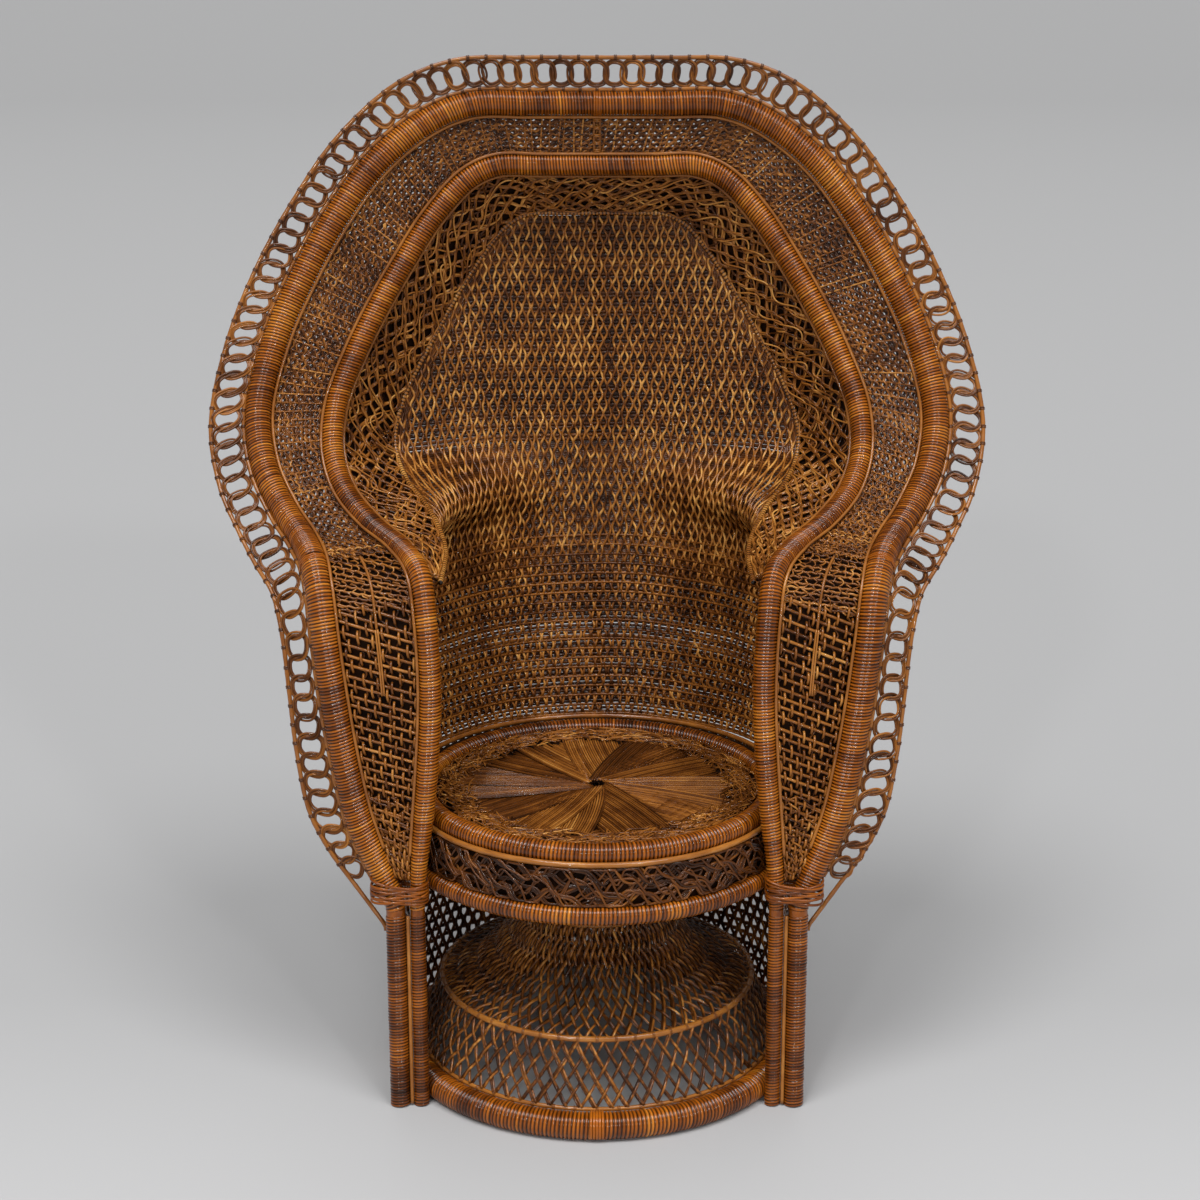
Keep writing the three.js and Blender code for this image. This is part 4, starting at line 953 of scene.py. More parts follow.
def even_rows(bundle, cord, wave, length, twist, shift, slide, sides=5):
    """Adds wavy cords at one pitch, each as far as the outer band is wide enough for it."""
    stations = even_stations(outer_band.middle, *FAN_SPAN, 0.0026)
    marks = ruler(outer_band.middle(stations))
    width = outer_band.width(stations)
    wander = 0.9 * np.sin(marks / 0.047 + shift) + 0.6 * np.sin(marks / 0.021)
    count = int(width.max() / 2 / OUTER_ROW_PITCH) + 1
    for k in range(-count, count + 1):
        offset = k * OUTER_ROW_PITCH + slide
        for first, last in runs(width / 2 > abs(offset) + cord.thickness / 2, 8):
            part = slice(first, last)
            phase = (2 * np.pi * marks[part] / length + np.pi * k + shift + wander[part]
                     + 0.3 * np.sin(marks[part] / 0.009 + 3 * k))
            edge = cord.thickness / 2 / width[part]
            share = np.clip(0.5 + (offset + wave * np.sin(phase)) / width[part], edge, 1 - edge)
            points, normals = outer_band.at(stations[part], share, cord.rise + twist * np.cos(phase))
            tones = dappled(marks[part], random.normal(cord.tone, 0.06), 0.22, length / 2)
            bundle.strands(points, normals, cord.thickness, cord.thickness * 0.9, tones, sides)


def slanted(bundle, side, start, end, cord, pitch, slope, wave=0.0, stubs=0):
    """Adds cords across an arm's band that fall to the sitter's left, with short ends standing on them."""
    stations = side * np.linspace(start, end, 240)
    shares = np.linspace(0.015, 0.985, 26)
    grid, _ = outer_band.at(stations[:, None], shares[None], 0.0)
    level = grid[..., 2] + slope * grid[..., 0]

    def station_at(value, column):
        return np.interp(-value, -level[:, column], stations)

    for k in range(int((level.max() - level.min()) / pitch)):
        value = level.max() - (k + 0.5) * pitch + random.normal(0, 0.05) * pitch
        inside = (value < level[0]) & (value > level[-1])
        for first, last in runs(inside, 4):
            columns = np.arange(first, last)
            bent = value + wave * np.sin(columns * 1.9 + np.pi * k)
            place = np.array([station_at(*pair) for pair in zip(bent, columns)])
            lift = cord.rise + 0.0006 * np.cos(columns * 2.0 + np.pi * k)
            points, normals = outer_band.at(place, shares[columns], lift)
            tone = shades(cord.tone, 0.12)
            bundle.strands(points, normals, cord.thickness, cord.thickness * 0.9, tone, 6)
        for j in range(stubs):
            column = int((j + 0.25 + 0.5 * (k % 2)) / stubs * len(shares))
            if not inside[column]:
                continue
            climb = np.linspace(0.62, -0.62, 7)
            place = np.array([station_at(value + step * pitch, column) for step in climb])
            lift = cord.rise + cord.thickness * (1.05 * np.cos(climb * 2.6) - 0.25)
            points, normals = outer_band.at(place, shares[column] + 0.01 * random.normal(), lift)
            tone = shades(cord.tone + 0.02, 0.1)
            bundle.strands(points, normals, cord.thickness * 0.85, cord.thickness * 0.7, tone, 6)


middle_band = Band(frame_rail, inner_rail, frame_radius, inner_radius)
outer_band = Band(inner_rail, outer_rail, inner_radius, outer_radius)


# Layers of the middle band: cord, rows, wave, length of a wave, shift and wander
MIDDLE_LAYERS = (
    (Cord(0.0038, -0.0012, 0.22), 10, 0.60, 0.041, 1.2, 0.7),
    (Cord(0.0038, 0.0012, 0.56), 9, 0.52, 0.031, 0.0, 0.3),
    (Cord(0.0032, 0.0022, 0.44), 9, 0.52, 0.031, 0.5, 0.3),
    (Cord(0.0026, 0.0032, 0.62), 5, 0.85, 0.083, 0.4, 0.7),
)


def middle_weave():
    span = (-MIDDLE_END_STATION, MIDDLE_END_STATION)
    bundle = Bundle()
    for cord, rows, wave, length, shift, wander in MIDDLE_LAYERS:
        lengthwise(bundle, middle_band, span, cord, rows, wave, length, 0.003, 0.0014, shift, wander)
    crosswise(bundle, middle_band, span, Cord(0.0028, 0.0016, 0.36), pitch=0.034, lean=0.05)
    lengthwise(bundle, middle_band, span, Cord(0.0040, -0.0072, 0.34), 9, 0.8, 0.046, twist=0.0008)
    bundle.build("middle_band_weave", WOVEN, "back_middle_band")
    # Painted shade: a near-black sheet behind the middle band's weave.
    band_sheet("middle_band_shade_sheet", "back_middle_band", middle_band, span, 0.0012,
               shares=(-0.06, 1.03), rise=-0.0046, steps=200)


def outer_weave():
    bundle = Bundle()
    for slide, shift, twist in ((-0.0009, 0.0, 0.0016), (0.0009, 0.35, 0.0008)):
        even_rows(bundle, Cord(0.0026, 0.0008, 0.33), 0.0015, 0.0130, twist, shift, slide)
    cord = Cord(0.0026, 0.0016, 0.46)
    crosswise(bundle, outer_band, FAN_SPAN, cord, pitch=0.0120, lean=0.007, bend=0.0018, steps=26)
    bundle.build("outer_band_weave", WOVEN, "back_outer_band")
    # Painted shade: the rear rows are toned near black, and the cords along both edges are dark, beside the
    # rolls.
    behind = Bundle()
    even_rows(behind, Cord(0.0046, -0.0026, 0.06), 0.0016, 0.0132, 0.0008, 3.7, 0.0033, sides=4)
    crosswise(behind, outer_band, FAN_SPAN, Cord(0.0030, -0.0012, 0.22), pitch=0.0087)
    edge = even_stations(outer_band.middle, *FAN_SPAN, 0.005)
    for across, rise in ((0.0012, 0.0006), (0.0040, -0.0010)):
        for share in (across / outer_band.width(edge), 1 - across / outer_band.width(edge)):
            behind.strands(*outer_band.at(edge, share, rise), 0.0040, 0.0034, 0.16, 5)
    behind.build("outer_band_rear_weave", WOVEN, "back_outer_band")
    ladder = Bundle()
    for station in (-0.045, 0.045):
        rungs = outer_band.at(np.full(16, station), np.linspace(0, 1, 16), 0.0036)
        ladder.strands(*rungs, 0.0040, 0.0034, 0.45, 6)
    ties, _ = outer_band.at(np.zeros(5), np.linspace(0.1, 0.9, 5), 0.0036)
    bindings(ladder, ties, unit(np.gradient(ties, axis=0)), 0.0046, tone=0.55)
    ladder.build("outer_band_ladder", WOVEN)


def arm_panels():
    elbow, split, end = ELBOW_STATION, ARM_SPLIT_STATION, ARM_WEAVE_END_STATION
    for name, side in SIDES:
        slope = ARM_SLOPES[name]
        bundle = Bundle()

        def cords(first, last, *form, **more):
            lengthwise(bundle, outer_band, sorted((side * first, side * last)), *form, **more)

        slanted(bundle, side, elbow - 0.7, split, Cord(0.0034, 0.0010, 0.40), 0.0060, 0.4 * slope, 0.0009)
        cords(elbow, split, Cord(0.0026, 0.0014, 0.44), 9, 0.35, 0.013, twist=0.0020, step=0.003)
        slanted(bundle, side, split - 0.15, end, Cord(0.0043, 0.0014, 0.46), 0.0140, slope, stubs=5)
        cords(16.6, end, Cord(0.0028, 0.0030, 0.34), 5, 0.8, 0.024, twist=0.0022, step=0.003)
        cords(split - 0.1, end, Cord(0.0032, -0.0026, 0.24), 6, 0.20, 0.031)
        cords(elbow, end, Cord(0.0036, -0.0078, 0.34), 9, 0.5, 0.03)
        middle = outer_band.at(side * np.linspace(elbow + 0.1, 14, 30), 0.5, 0.0034)
        bundle.strands(*middle, 0.0040, 0.0030, 0.5, 6)
        bundle.build(f"{name}_arm_weave", WOVEN, f"{name}_arm_panel")
        # Painted shade: a near-black sheet behind the arm's weave.
        span = sorted((side * (elbow - 0.3), side * end))
        band_sheet(f"{name}_arm_shade_sheet", f"{name}_arm_panel", outer_band, span, 0.0014,
                   shares=(0.0, 1.0), rise=-0.0052, steps=80)
        canes = Bundle()
        stations = np.linspace(side * 14, side * 15, 30)
        for shift in (-0.0016, 0.0016):
            points, _ = outer_band.at(stations, 0.5 + shift / outer_band.width(stations), 0.0047)
            rod(canes, points, 0.0014, 0.66)
        canes.build(f"{name}_arm_centre_canes", ROD, f"{name}_arm_centre_rod")


# Back panel

def back_depth(height):
    low, high = SKIRT_TOP_HEIGHT, float(height_at(FRAME_FAN_SHARES[0][2]))
    share = np.clip((height - low) / (high - low), 0, 1)
    return SKIRT_TOP_RADIUS + (BACK_DEPTH - SKIRT_TOP_RADIUS) * np.sin(share * np.pi / 2)


class Panel:
    """The woven back: level rows that bend round the sitter on arcs of circles, edge to edge."""

    def __init__(self):
        upper = frame_rail(np.linspace(2, FRAME_END_STATION, 300))
        lower = inner_rail(np.linspace(FRAME_END_STATION + 0.5, 20, 300))
        edge = np.vstack([upper, lower[lower[:, 2] < upper[-1, 2] - 0.004]])
        edge = edge[np.argsort(edge[:, 2])]
        self.heights, self.edge_x, self.edge_y = edge[:, 2], edge[:, 0], edge[:, 1] - AXIS_Y
        self.low = SKIRT_TOP_HEIGHT + 0.004
        self.high = float(height_at(FRAME_FAN_SHARES[2][2])) - FRAME_ROD_DIAMETER / 4
        self.rows = np.linspace(self.low, self.high, 260)
        _, radius, end = self.row(self.rows)
        self.half = radius * end

    def row(self, height):
        """The back of a row, its radius and the turn of its ends."""
        x = np.interp(height, self.heights, self.edge_x)
        y = np.interp(height, self.heights, self.edge_y)
        back = back_depth(height)
        end = 2 * np.arctan(np.maximum(back - y, CLEARANCE) / x)
        radius = x / np.sin(end)
        below = smoothstep(height, *PANEL_EDGE_HEIGHTS)
        inset = FRAME_ROD_DIAMETER / 2 + below * (INNER_ARM_ROLL_DIAMETER / 2 - FRAME_ROD_DIAMETER / 2)
        return back, radius, end - inset / radius

    def at_reach(self, reach, height, rise):
        """The point at a distance along the row from the middle of the back, and the way out of the face."""
        reach, height, rise = np.broadcast_arrays(reach, height, rise)
        back, radius, end = self.row(height)
        turn = np.clip(reach / radius, -end, end)
        normal = np.stack([-np.sin(turn), -np.cos(turn), np.zeros(turn.shape)], -1)
        point = np.stack([radius * np.sin(turn), AXIS_Y + back - radius + radius * np.cos(turn), height], -1)
        return point + normal * rise[..., None], normal


panel = Panel()


def panel_row(bundle, height, width, thickness, rise, tone, turned=0.0, sides=5):
    """Adds a level cord that follows the back from edge to edge."""
    end = float(np.interp(height, panel.rows, panel.half))
    count = int(end / PANEL_PITCH * 2)
    reach = np.arange(-count, count + 1) * PANEL_PITCH / 2
    wave = rise + 0.0005 * np.sin(np.pi * reach / PANEL_PITCH + turned)
    heights = height + 0.0007 * np.sin(reach * 31 + 2 * turned)
    bundle.strands(*panel.at_reach(reach, heights, wave), width, thickness, shades(tone, 0.10), sides)


def panel_cords(bundle):
    """Adds upright cords that bend from side to side, and leave eyes between them in the upper part."""
    count = int(panel.half.max() / PANEL_PITCH)
    for k in range(-count, count + 1):
        reach = k * PANEL_PITCH
        inside = panel.rows[panel.half > abs(reach) + 0.001]
        if not len(inside) or inside[-1] - inside[0] < PANEL_EYE:
            continue
        heights = np.linspace(inside[0], inside[-1], max(int((inside[-1] - inside[0]) / 0.0030), 6))
        climb = 2 * np.pi * (heights - panel.low) / PANEL_EYE
        low = 1 - smoothstep(heights, *PANEL_OPEN_HEIGHTS)
        drift = 0.9 * np.sin(reach * 9 + heights * 6) + 0.7 * np.sin(reach * 23 - heights * 11 + 1)
        phase = climb + np.pi * k + drift * (1 - 0.7 * low) + 0.35 * np.sin(heights * 70 + k * 2.4)
        sway = (PANEL_SWAY * (1 + 0.3 * np.sin(heights * 41 + k * 1.7)) * np.sin(phase)
                + 0.0008 * np.sin(heights * 90 + k * 2.1))
        over = PANEL_CORD.rise + 0.0011 * np.cos(phase)
        between = 0.0014 - 0.0014 * np.cos(2 * climb)
        points, normals = panel.at_reach(reach + sway, heights, over + low * (between - over))
        tone = dappled(heights, random.normal(PANEL_CORD.tone, 0.05), 0.21, PANEL_EYE / 4)
        # Painted light and shade run along each cord with its wave; the cords are also toned darker in the
        # low part.
        tone = np.clip(tone + 0.12 * np.cos(2 * phase + 0.6) - 0.10 * low, 0, 1)
        bundle.strands(points, normals, PANEL_CORD.thickness, PANEL_CORD_HEIGHT, tone, 5)


def panel_edges(bundle):
    for side in (-1, 1):
        for j in range(PANEL_EDGE_CORDS):
            reach = side * (panel.half - 0.0016 - PANEL_EDGE_PITCH * j)
            reach = reach + 0.0005 * np.sin(panel.rows * 160 + 2.1 * j)
            points, normals = panel.at_reach(reach, panel.rows, -0.0008 + 0.0005 * (j % 2))
            bundle.strands(points, normals, 0.0034, 0.0026, dappled(panel.rows, 0.20, 0.10, 0.012), 5)


def back_panel():
    front = Bundle()
    panel_cords(front)
    panel_edges(front)
    for height in np.arange(panel.low + 0.001, PANEL_OPEN_HEIGHTS[1], PANEL_EYE / 2):
        panel_row(front, height, 0.0040, 0.0024, 0.0012, 0.30)
    front.build("back_panel_weave", WOVEN, "back_panel")
    # Painted shade: the rear rows are toned near black so that the eyes of the weave look dark.
    behind = Bundle()
    heights = np.arange(panel.low + 0.003, panel.high - 0.003, PANEL_ROW_PITCH)
    low, high = PANEL_FLARE_HEIGHTS
    flaring = heights[(heights > low) & (heights < high)] + PANEL_ROW_PITCH / 2
    for k, height in enumerate(np.concatenate([heights, flaring])):
        open_low = 1 - float(smoothstep(height, *PANEL_OPEN_HEIGHTS))
        width = 0.0061 - 0.0011 * open_low * (random.uniform() < 0.25)
        panel_row(behind, height, width, 0.0022, -0.0018, 0.09, np.pi * k, 4)
    behind.build("back_panel_rear_weave", WOVEN, "back_panel")


# Seat

def seat_strips():
    """Adds the seat's wedges of split cane, each laid a little over the next."""
    bundle = Bundle()
    span = 2 * np.pi / SEAT_WEDGES
    for k in range(SEAT_WEDGES):
        way = k * span + random.normal(0, 0.06)
        edge = random.uniform(*SEAT_WEDGE_EDGES)
        wedge_tone = random.uniform(*SEAT_WEDGE_TONES)
        bend = random.uniform(*SEAT_WEDGE_BENDS)
        top = SEAT_PANEL_TOP - 0.0012 - 0.0008 * (k % 2)
        for j in range(int(edge * span * SEAT_WEDGE_LAP / SEAT_STRIP_WIDTH) + 2):
            offset = j * SEAT_STRIP_WIDTH
            start = max(0.010, offset / math.tan(span * SEAT_WEDGE_LAP) - 0.002)
            finish = math.sqrt(max((edge + random.normal(0, 0.005)) ** 2 - offset ** 2, start ** 2))
            if finish - start < SEAT_STRIP_LEAST:
                continue
            line = np.linspace(start, finish, max(int((finish - start) / 0.007), 4))
            shift = SEAT_HOLE_RADIUS * 0.9 - offset
            turn = way + bend * line / edge
            x = line * np.cos(turn) + shift * np.sin(turn)
            y = line * np.sin(turn) - shift * np.cos(turn)
            height = top - 0.0036 * offset / (edge * span * 1.25) + 0.0003 * (j % 2)
            points = np.column_stack([-x, AXIS_Y + y, np.full(len(line), height)])
            tone = np.clip(random.normal(wedge_tone, 0.10) - 0.25 * (j == 0), 0, 1)
            bundle.strands(points, (0, 0, 1), SEAT_STRIP_WIDTH * 0.86, 0.0018, tone, 5)
    bundle.build("seat_panel_strips", WOVEN, "seat_panel")


def seat_rim():
    """Adds short crossed cords between the wedges and the seat ring."""
    bundle = Bundle()
    column = (SEAT_RIM_CORDS, 1)
    share = np.linspace(0, 1, 14)
    for _ in range(SEAT_RIM_LAYERS):
        lean = random.normal(0, 0.13, column)
        start = round_turns(SEAT_RIM_CORDS)[:, None] + random.uniform(0, 0.06, column)
        bend = 0.018 * np.sin(share * 8 + random.uniform(0, 6, column))
        turn = start + lean * (share - 0.5) * 2 + bend
        first = SEAT_RIM_START + random.uniform(0, SEAT_RIM_RAGGED, column)
        last = np.minimum(first + random.uniform(*SEAT_RIM_LENGTHS, column), SEAT_RIM_RADIUS)
        wave = np.sin(share * 8 + random.uniform(0, 6, column))
        points = on_ring(first + (last - first) * share, turn, SEAT_PANEL_TOP - 0.0014 + 0.0014 * wave)
        bundle.strands(points, (0, 0, 1), 0.0024, 0.0020, shades(0.38, 0.16, SEAT_RIM_CORDS), 5)
    bundle.build("seat_rim_weave", WOVEN, "seat_panel")


def seat_base():
    # Painted shade: a near-black sheet under the seat's strips.
    bundle = Bundle()
    radii = np.linspace(SEAT_HOLE_RADIUS, SEAT_RIM_RADIUS, 8)[:, None]
    points = on_ring(radii, np.linspace(0, 2 * np.pi, 97), SEAT_PANEL_TOP - 0.0064)
    sheet(bundle, points, np.broadcast_to((0, 0, 1.0), points.shape), 0.0014)
    bundle.build("seat_panel_shade_sheet", DARK, "seat_panel")
    reach = SEAT_RING_DIAMETER / 2 + SEAT_ROD_DIAMETER / 2 + CLEARANCE
    radius = SEAT_RING_RADIUS + math.sqrt(reach ** 2 - SEAT_ROD_DROP ** 2)
    points = circle(radius, SEAT_HEIGHT - SEAT_ROD_DROP, 300)
    rod_piece("seat_rod_cane", "seat_trim_rod", points, SEAT_ROD_DIAMETER / 2, 0.6, closed=True)


# Walls round the seat's axis

class Wall:
    """A wall turned round the seat's axis, through places of radius and height."""

    def __init__(self, *profile):
        self.profile = np.array(profile, float)
        lengths = ruler(self.profile)
        self.shares = lengths / lengths[-1]

    def place(self, share):
        return np.stack([np.interp(share, self.shares, self.profile[:, k]) for k in (0, 1)], -1)

    def at(self, turn, share, rise):
        turn, share, rise = np.broadcast_arrays(turn, share, rise)
        place = self.place(share)
        up = unit(self.place(share + 0.02) - self.place(share - 0.02))
        around = np.stack([np.sin(turn), np.cos(turn)], -1)
        normal = np.concatenate([around * up[..., 1:], -up[..., :1]], -1)
        point = np.concatenate([around * place[..., :1], place[..., 1:]], -1) + (0, AXIS_Y, 0)
        return point + normal * rise[..., None], normal


def lattice(bundle, wall, count, turn, cord, shift=0.0, steps=40):
    """Adds cords that climb the wall to either hand and cross."""
    share = np.linspace(0.0, 1.0, steps)[None]
    gap = 2 * np.pi / count
    for side in (-1, 1):
        jitter = random.normal(0, 0.05 * gap, (count, 1))
        path = (shift + round_turns(count))[:, None] + jitter + side * turn * share
        points, normals = wall.at(path, share, side * cord.rise * np.cos(2 * np.pi * turn / gap * share))
        tones = random.normal(cord.tone, 0.10, (count, 1)) + random.normal(0, 0.12, (count, steps))
        bundle.strands(points, normals, cord.thickness, cord.thickness * 0.8, np.clip(tones, 0, 1), 6)


def pedestal():
    middle = np.array((MID_RING_RADIUS, MID_RING_HEIGHT))
    waist = np.array((WAIST_RADIUS, WAIST_HEIGHT))
    shares = np.linspace(0, 1, 9)[:, None]
    bent = middle + (waist - middle) * shares - WAIST_BEND * np.sin(np.pi * shares)
    for name, node_name, wall, turn, count in (
        ("pedestal_lower_canes", "pedestal_lower_lattice", Wall(LATTICE_FOOT, middle), 0.22, LATTICE_CANES),
        ("pedestal_upper_canes", "pedestal_upper_lattice", Wall(*bent), 0.46, LATTICE_CANES),
        ("pedestal_flare_canes", "pedestal_top_flare", Wall(waist, FLARE_TOP), 0.55, FLARE_CANES),
    ):
        bundle = Bundle()
        lattice(bundle, wall, count, turn, LATTICE_CORD)
        # Each cord gets a dark companion beside it, a painted shade as a dark outline.
        lattice(bundle, wall, count, turn, LATTICE_SHADE_CORD, shift=0.10 * 2 * np.pi / count)
        bundle.build(name, WOVEN, node_name)
    for name, node_name, radius, size, ties in (
        ("base_trim_cane", "base_ring_trim_rod", BASE_TRIM_RADIUS, BASE_TRIM_DIAMETER, RING_TIES),
        ("middle_ring_cane", "pedestal_middle_ring", MID_RING_RADIUS, MID_RING_DIAMETER, RING_TIES),
        ("waist_ring_cane", "pedestal_waist_ring", WAIST_RADIUS, MID_RING_DIAMETER, 0),
        ("top_ring_cane", "pedestal_top_ring", FLARE_TOP[0], TOP_RING_DIAMETER, 0),
    ):
        height = box_of(node_name)[2][2]
        bundle = Bundle()
        rod(bundle, circle(radius, height, 200), size / 2, 0.58, closed=True)
        if ties:
            turns = round_turns(ties) + np.pi / ties
            alongs = np.column_stack([-np.sin(turns), np.cos(turns), 0 * turns])
            bindings(bundle, on_ring(radius, turns, height), alongs, size / 2, 0.0014, 0.4)
        bundle.build(name, ROD, node_name)


# Layers of the apron: cord, rows, waves in a turn, height of a wave and shift
# The first two layers, at the back, are toned near black: a painted shade behind the front cords.
APRON_LAYERS = (
    (Cord(0.0044, -0.0004, 0.05), 4, 15, 0.80, 0.0), (Cord(0.0038, 0.0002, 0.04), 4, 15, 0.80, 0.40),
    (Cord(0.0046, 0.0018, 0.16), 3, 19, 0.75, 1.0), (Cord(0.0040, 0.0026, 0.13), 3, 19, 0.75, 1.42),
    (Cord(0.0038, 0.0034, 0.24), 3, 24, 0.70, 2.6), (Cord(0.0032, 0.0038, 0.22), 3, 33, 0.80, 4.1),
)


def apron():
    low = APRON_RING_HEIGHT + APRON_RING_DIAMETER / 2
    high = SEAT_HEIGHT - SEAT_ROD_DROP - SEAT_ROD_DIAMETER / 2
    wall = Wall((APRON_RING_RADIUS, low), (APRON_TOP_RADIUS, high))
    bundle = Bundle()
    turns = round_turns(420)
    for cord, rows, waves, wave, shift in APRON_LAYERS:
        row = np.arange(rows)[:, None]
        phase = (waves * turns + np.pi * row + shift + 0.9 * np.sin(7 * turns + 2.2 * row)
                 + 0.5 * np.sin(31 * turns + 1.3 * row + shift))
        share = np.clip((row + 0.5) / rows + wave * np.sin(phase) / rows, 0.03, 0.97)
        points, normals = wall.at(turns, share, cord.rise + 0.0014 * np.cos(phase))
        tones = shades(cord.tone, 0.09, rows)
        bundle.strands(points, normals, cord.thickness, cord.thickness * 0.8, tones, 6, closed=True)
    lattice(bundle, wall, 44, 0.20, Cord(0.0040, 0.0024, 0.18), steps=12)
    bundle.build("apron_weave_canes", WOVEN, "apron_weave")
    # Painted shade: a near-black sheet behind the apron's weave.
    backing = Bundle()
    turns = np.linspace(0, 2 * np.pi, 121)[:, None]
    sheet(backing, *wall.at(turns, np.linspace(0, 1, 4), -0.0042), 0.0012)
    backing.build("apron_shade_sheet", DARK, "apron_weave")


def seat_bars():
    for i in range(3):
        name = f"seat_bar_{i + 1}"
        low, high, (_, y, z) = box_of(name)
        points = np.array([[low[0], y, z], [high[0], y, z]])
        rod_piece(f"{name}_cane", name, points, (high[2] - low[2]) / 2, 0.45, sides=14, knot_step=0.2)


def skirt():
    wall = Wall((SKIRT_FOOT_RADIUS, SKIRT_ROD_DIAMETER), (SKIRT_APRON_RADIUS, APRON_RING_HEIGHT),
                (SKIRT_TOP_RADIUS, SKIRT_TOP_HEIGHT))
    front = box_of("rear_skirt_bottom_rod")[0][1] - AXIS_Y + 0.004
    end = math.acos(np.clip(front / SKIRT_FOOT_RADIUS, -1, 1)) - 0.01
    bundle = Bundle()
    count = int(2 * end * SKIRT_FOOT_RADIUS / SKIRT_CANE_PITCH)
    turns = np.linspace(-end, end, count)[:, None]
    share = np.linspace(0.0, 1.0, 150)[None]
    phase = (share * 2 * np.pi * SKIRT_WAVES + np.arange(count)[:, None] * np.pi
             + 0.25 * np.sin(turns * 9 + share * 5))
    points, normals = wall.at(turns + SKIRT_SWAY * np.sin(phase), share, 0.0016 * np.cos(phase))
    bundle.strands(points, normals, 0.0070, 0.0032, shades(0.34, 0.13, count), 5)
    row = np.arange(SKIRT_ROWS)[:, None]
    line = np.linspace(-end, end, 260)[None]
    share = (row + 1) / (SKIRT_ROWS + 0.2)
    phase = np.pi * (line * SKIRT_FOOT_RADIUS / SKIRT_CANE_PITCH + row)
    points, normals = wall.at(line, share + 0.0012 * np.sin(phase), 0.0020 + 0.0010 * np.sin(phase))
    bundle.strands(points, normals, 0.0078, 0.0026, shades(0.30, 0.12, SKIRT_ROWS), 5)
    bundle.build("rear_skirt_weave", WOVEN, "rear_skirt")
    # Painted shade: a near-black sheet behind the top of the skirt's weave.
    lining = Bundle()
    line = np.linspace(-end, end, 121)[:, None]
    sheet(lining, *wall.at(line, np.linspace(0.80, 0.99, 6), -0.0030), 0.0012)
    lining.build("rear_skirt_shade_sheet", DARK, "rear_skirt")
    angle = np.pi / 2 - np.linspace(-end, end, 300)
    for name, radius, height, size in (
        ("bottom", SKIRT_FOOT_RADIUS, SKIRT_ROD_DIAMETER / 2, SKIRT_ROD_DIAMETER),
        ("top", SKIRT_TOP_RADIUS, SKIRT_TOP_HEIGHT, SKIRT_TOP_ROD_DIAMETER),
    ):
        points = on_ring(radius, angle, height)
        rod_piece(f"rear_skirt_{name}_cane", f"rear_skirt_{name}_rod", points, size / 2, 0.45)


def rear_pole():
    reach = REAR_POLE_DIAMETER / 2 + 2 * CLEARANCE
    foot = SKIRT_FOOT_RADIUS + SKIRT_ROD_DIAMETER / 2 + reach
    top = outer_rail(0.0)
    rows = [(foot, 0.0), (foot, SKIRT_ROD_DIAMETER), (SKIRT_APRON_RADIUS + 0.002 + reach, APRON_RING_HEIGHT),
            (SKIRT_TOP_RADIUS + 0.004 + reach, SKIRT_TOP_HEIGHT)]
    rows += [(back_depth(h) + 0.0018 + reach + CLEARANCE, h) for h in height_at(POLE_PANEL_SHARES)]
    rows.append((BACK_DEPTH + FRAME_ROD_DIAMETER / 2 + reach, float(height_at(FRAME_FAN_SHARES[0][2]))))
    rows.append((top[1] - AXIS_Y + OUTER_ROLL_TOP_DIAMETER / 2 + reach, top[2]))
    points = np.array([(0.0, AXIS_Y + y, z) for y, z in rows])
    rod_piece("rear_pole_cane", "rear_centre_pole", points, REAR_POLE_DIAMETER / 2, 0.42, sides=14,
              knot_step=0.3)


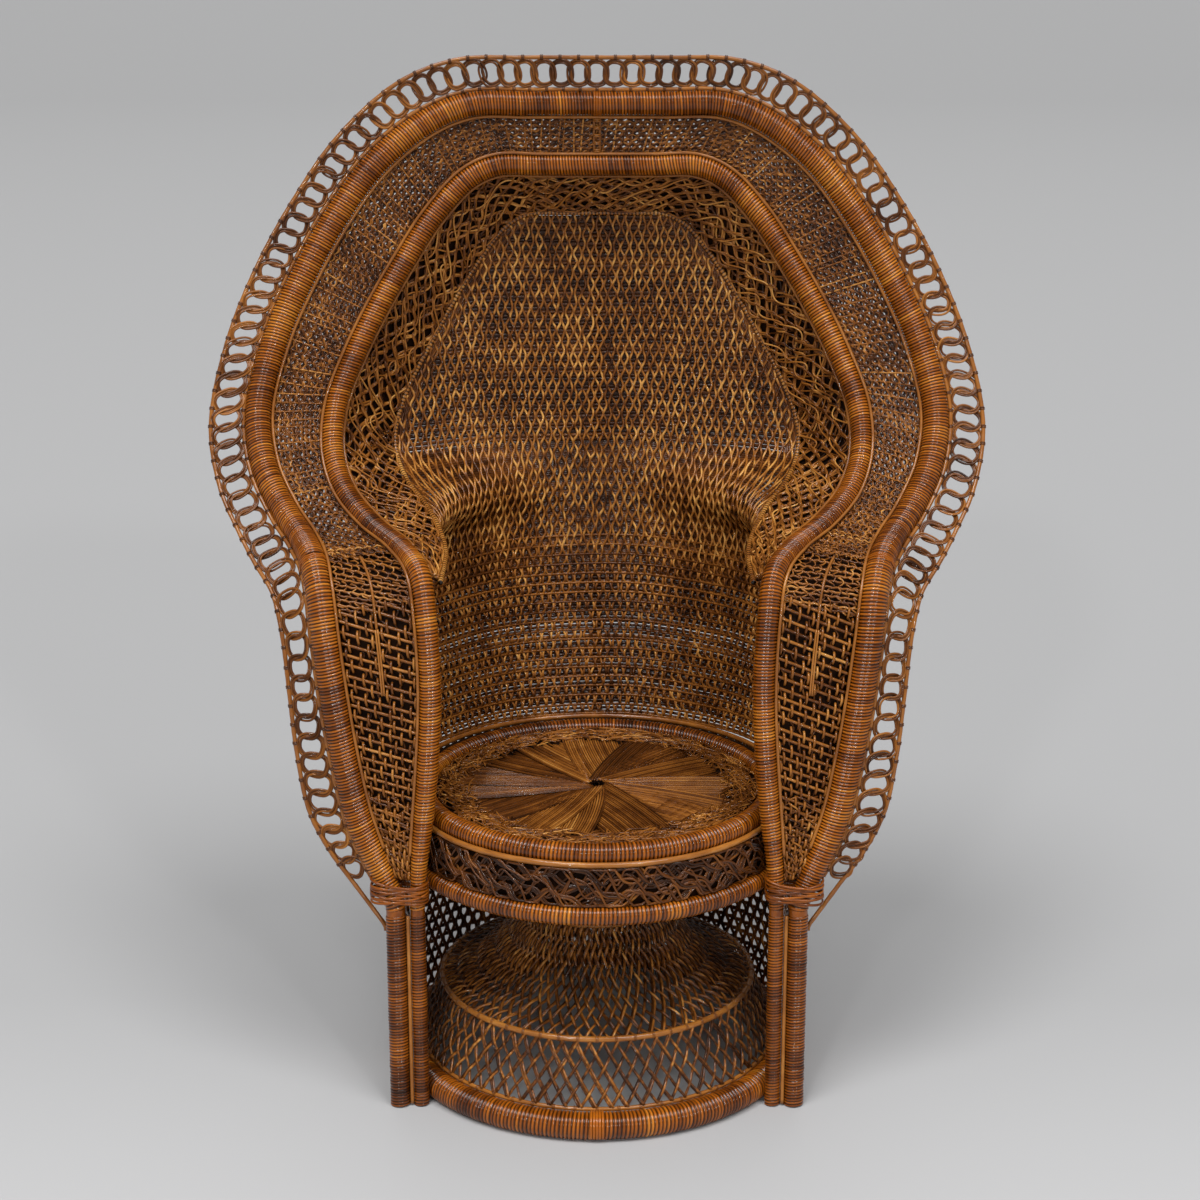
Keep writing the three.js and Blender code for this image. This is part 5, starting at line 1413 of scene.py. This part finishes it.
def leg_bindings():
    turns = round_turns(60)
    shape, across = squared(np.cos(turns), 0.75), squared(np.sin(turns), 0.75)
    for name, _ in SIDES:
        low, high, centre = box_of(f"{name}_leg_binding")
        half = (high - low) / 2 - 0.0022
        bundle = Bundle()
        for k in range(BINDING_LOOPS):
            height = low[2] + (k + 0.5) * (high[2] - low[2]) / BINDING_LOOPS
            tilt = BINDING_TILT * (1 if k % 2 else -1) * random.uniform(0.3, 1.2)
            height = height + tilt * shape * 0.6 + 0.0012 * np.sin(2 * turns + k)
            points = np.column_stack([centre[0] + half[0] * shape, centre[1] + half[1] * across, height])
            normals = unit(np.column_stack([half[1] * np.cos(turns), half[0] * np.sin(turns), 0 * turns]))
            thickness = 0.0030 + 0.0006 * (k % 3)
            bundle.strands(points, normals, 0.0040, thickness, shades(0.36, 0.1), 6, closed=True)
        bundle.build(f"{name}_leg_binding_reeds", WRAPPED, f"{name}_leg_binding")


# Floor and light

def stage():
    """Adds a plain floor whose grey carries painted light: a little lighter in front of the chair than far
    behind it.
    """
    mesh = bpy.data.meshes.new("floor")
    corners = [(x * FLOOR_HALF, y * FLOOR_HALF, 0) for x, y in ((-1, -1), (1, -1), (1, 1), (-1, 1))]
    mesh.from_pydata(corners, [], [(0, 1, 2, 3)])
    floor = bpy.data.objects.new("floor", mesh)
    bpy.context.scene.collection.objects.link(floor)
    material, tree = blank_material("floor_paper")
    near, far = FLOOR_REACHES[0], FLOOR_REACHES[-1]
    where = node(tree, "TexCoord", {}).outputs["Object"]
    depth = node(tree, "SeparateXYZ", {0: where}).outputs["Y"]
    share = node(tree, "MapRange", {"Value": depth, "From Min": near, "From Max": far}).outputs[0]
    stops = [((reach - near) / (far - near), (shade, shade, shade * 1.01))
             for reach, shade in zip(FLOOR_REACHES, FLOOR_PAINTED_FALLOFF)]
    feed(tree, tree.nodes["Principled BSDF"].inputs, {
        "Base Color": ramp(tree, stops, share), "Roughness": 0.8, "Specular IOR Level": 0.2,
    })
    mesh.materials.append(material)


def light():
    world = bpy.data.worlds.new("studio")
    bpy.context.scene.world = world
    world.use_nodes = True
    background = world.node_tree.nodes["Background"]
    background.inputs["Color"].default_value = (1, 1, 1, 1)
    background.inputs["Strength"].default_value = WORLD_STRENGTH
    for name, strength, angle, azimuth, elevation in SUNS:
        data = bpy.data.lights.new(name, "SUN")
        data.energy = strength
        data.angle = math.radians(angle)
        lamp = bpy.data.objects.new(name, data)
        lamp.rotation_euler = Euler((math.radians(90 - elevation), 0, math.radians(azimuth)))
        bpy.context.scene.collection.objects.link(lamp)
    bpy.context.scene.view_settings.view_transform = "Standard"


rolls()
rings()
posts()
rail_rods()
lace()
middle_weave()
outer_weave()
arm_panels()
back_panel()
seat_strips()
seat_rim()
seat_base()
pedestal()
apron()
seat_bars()
skirt()
rear_pole()
leg_bindings()
stage()
light()
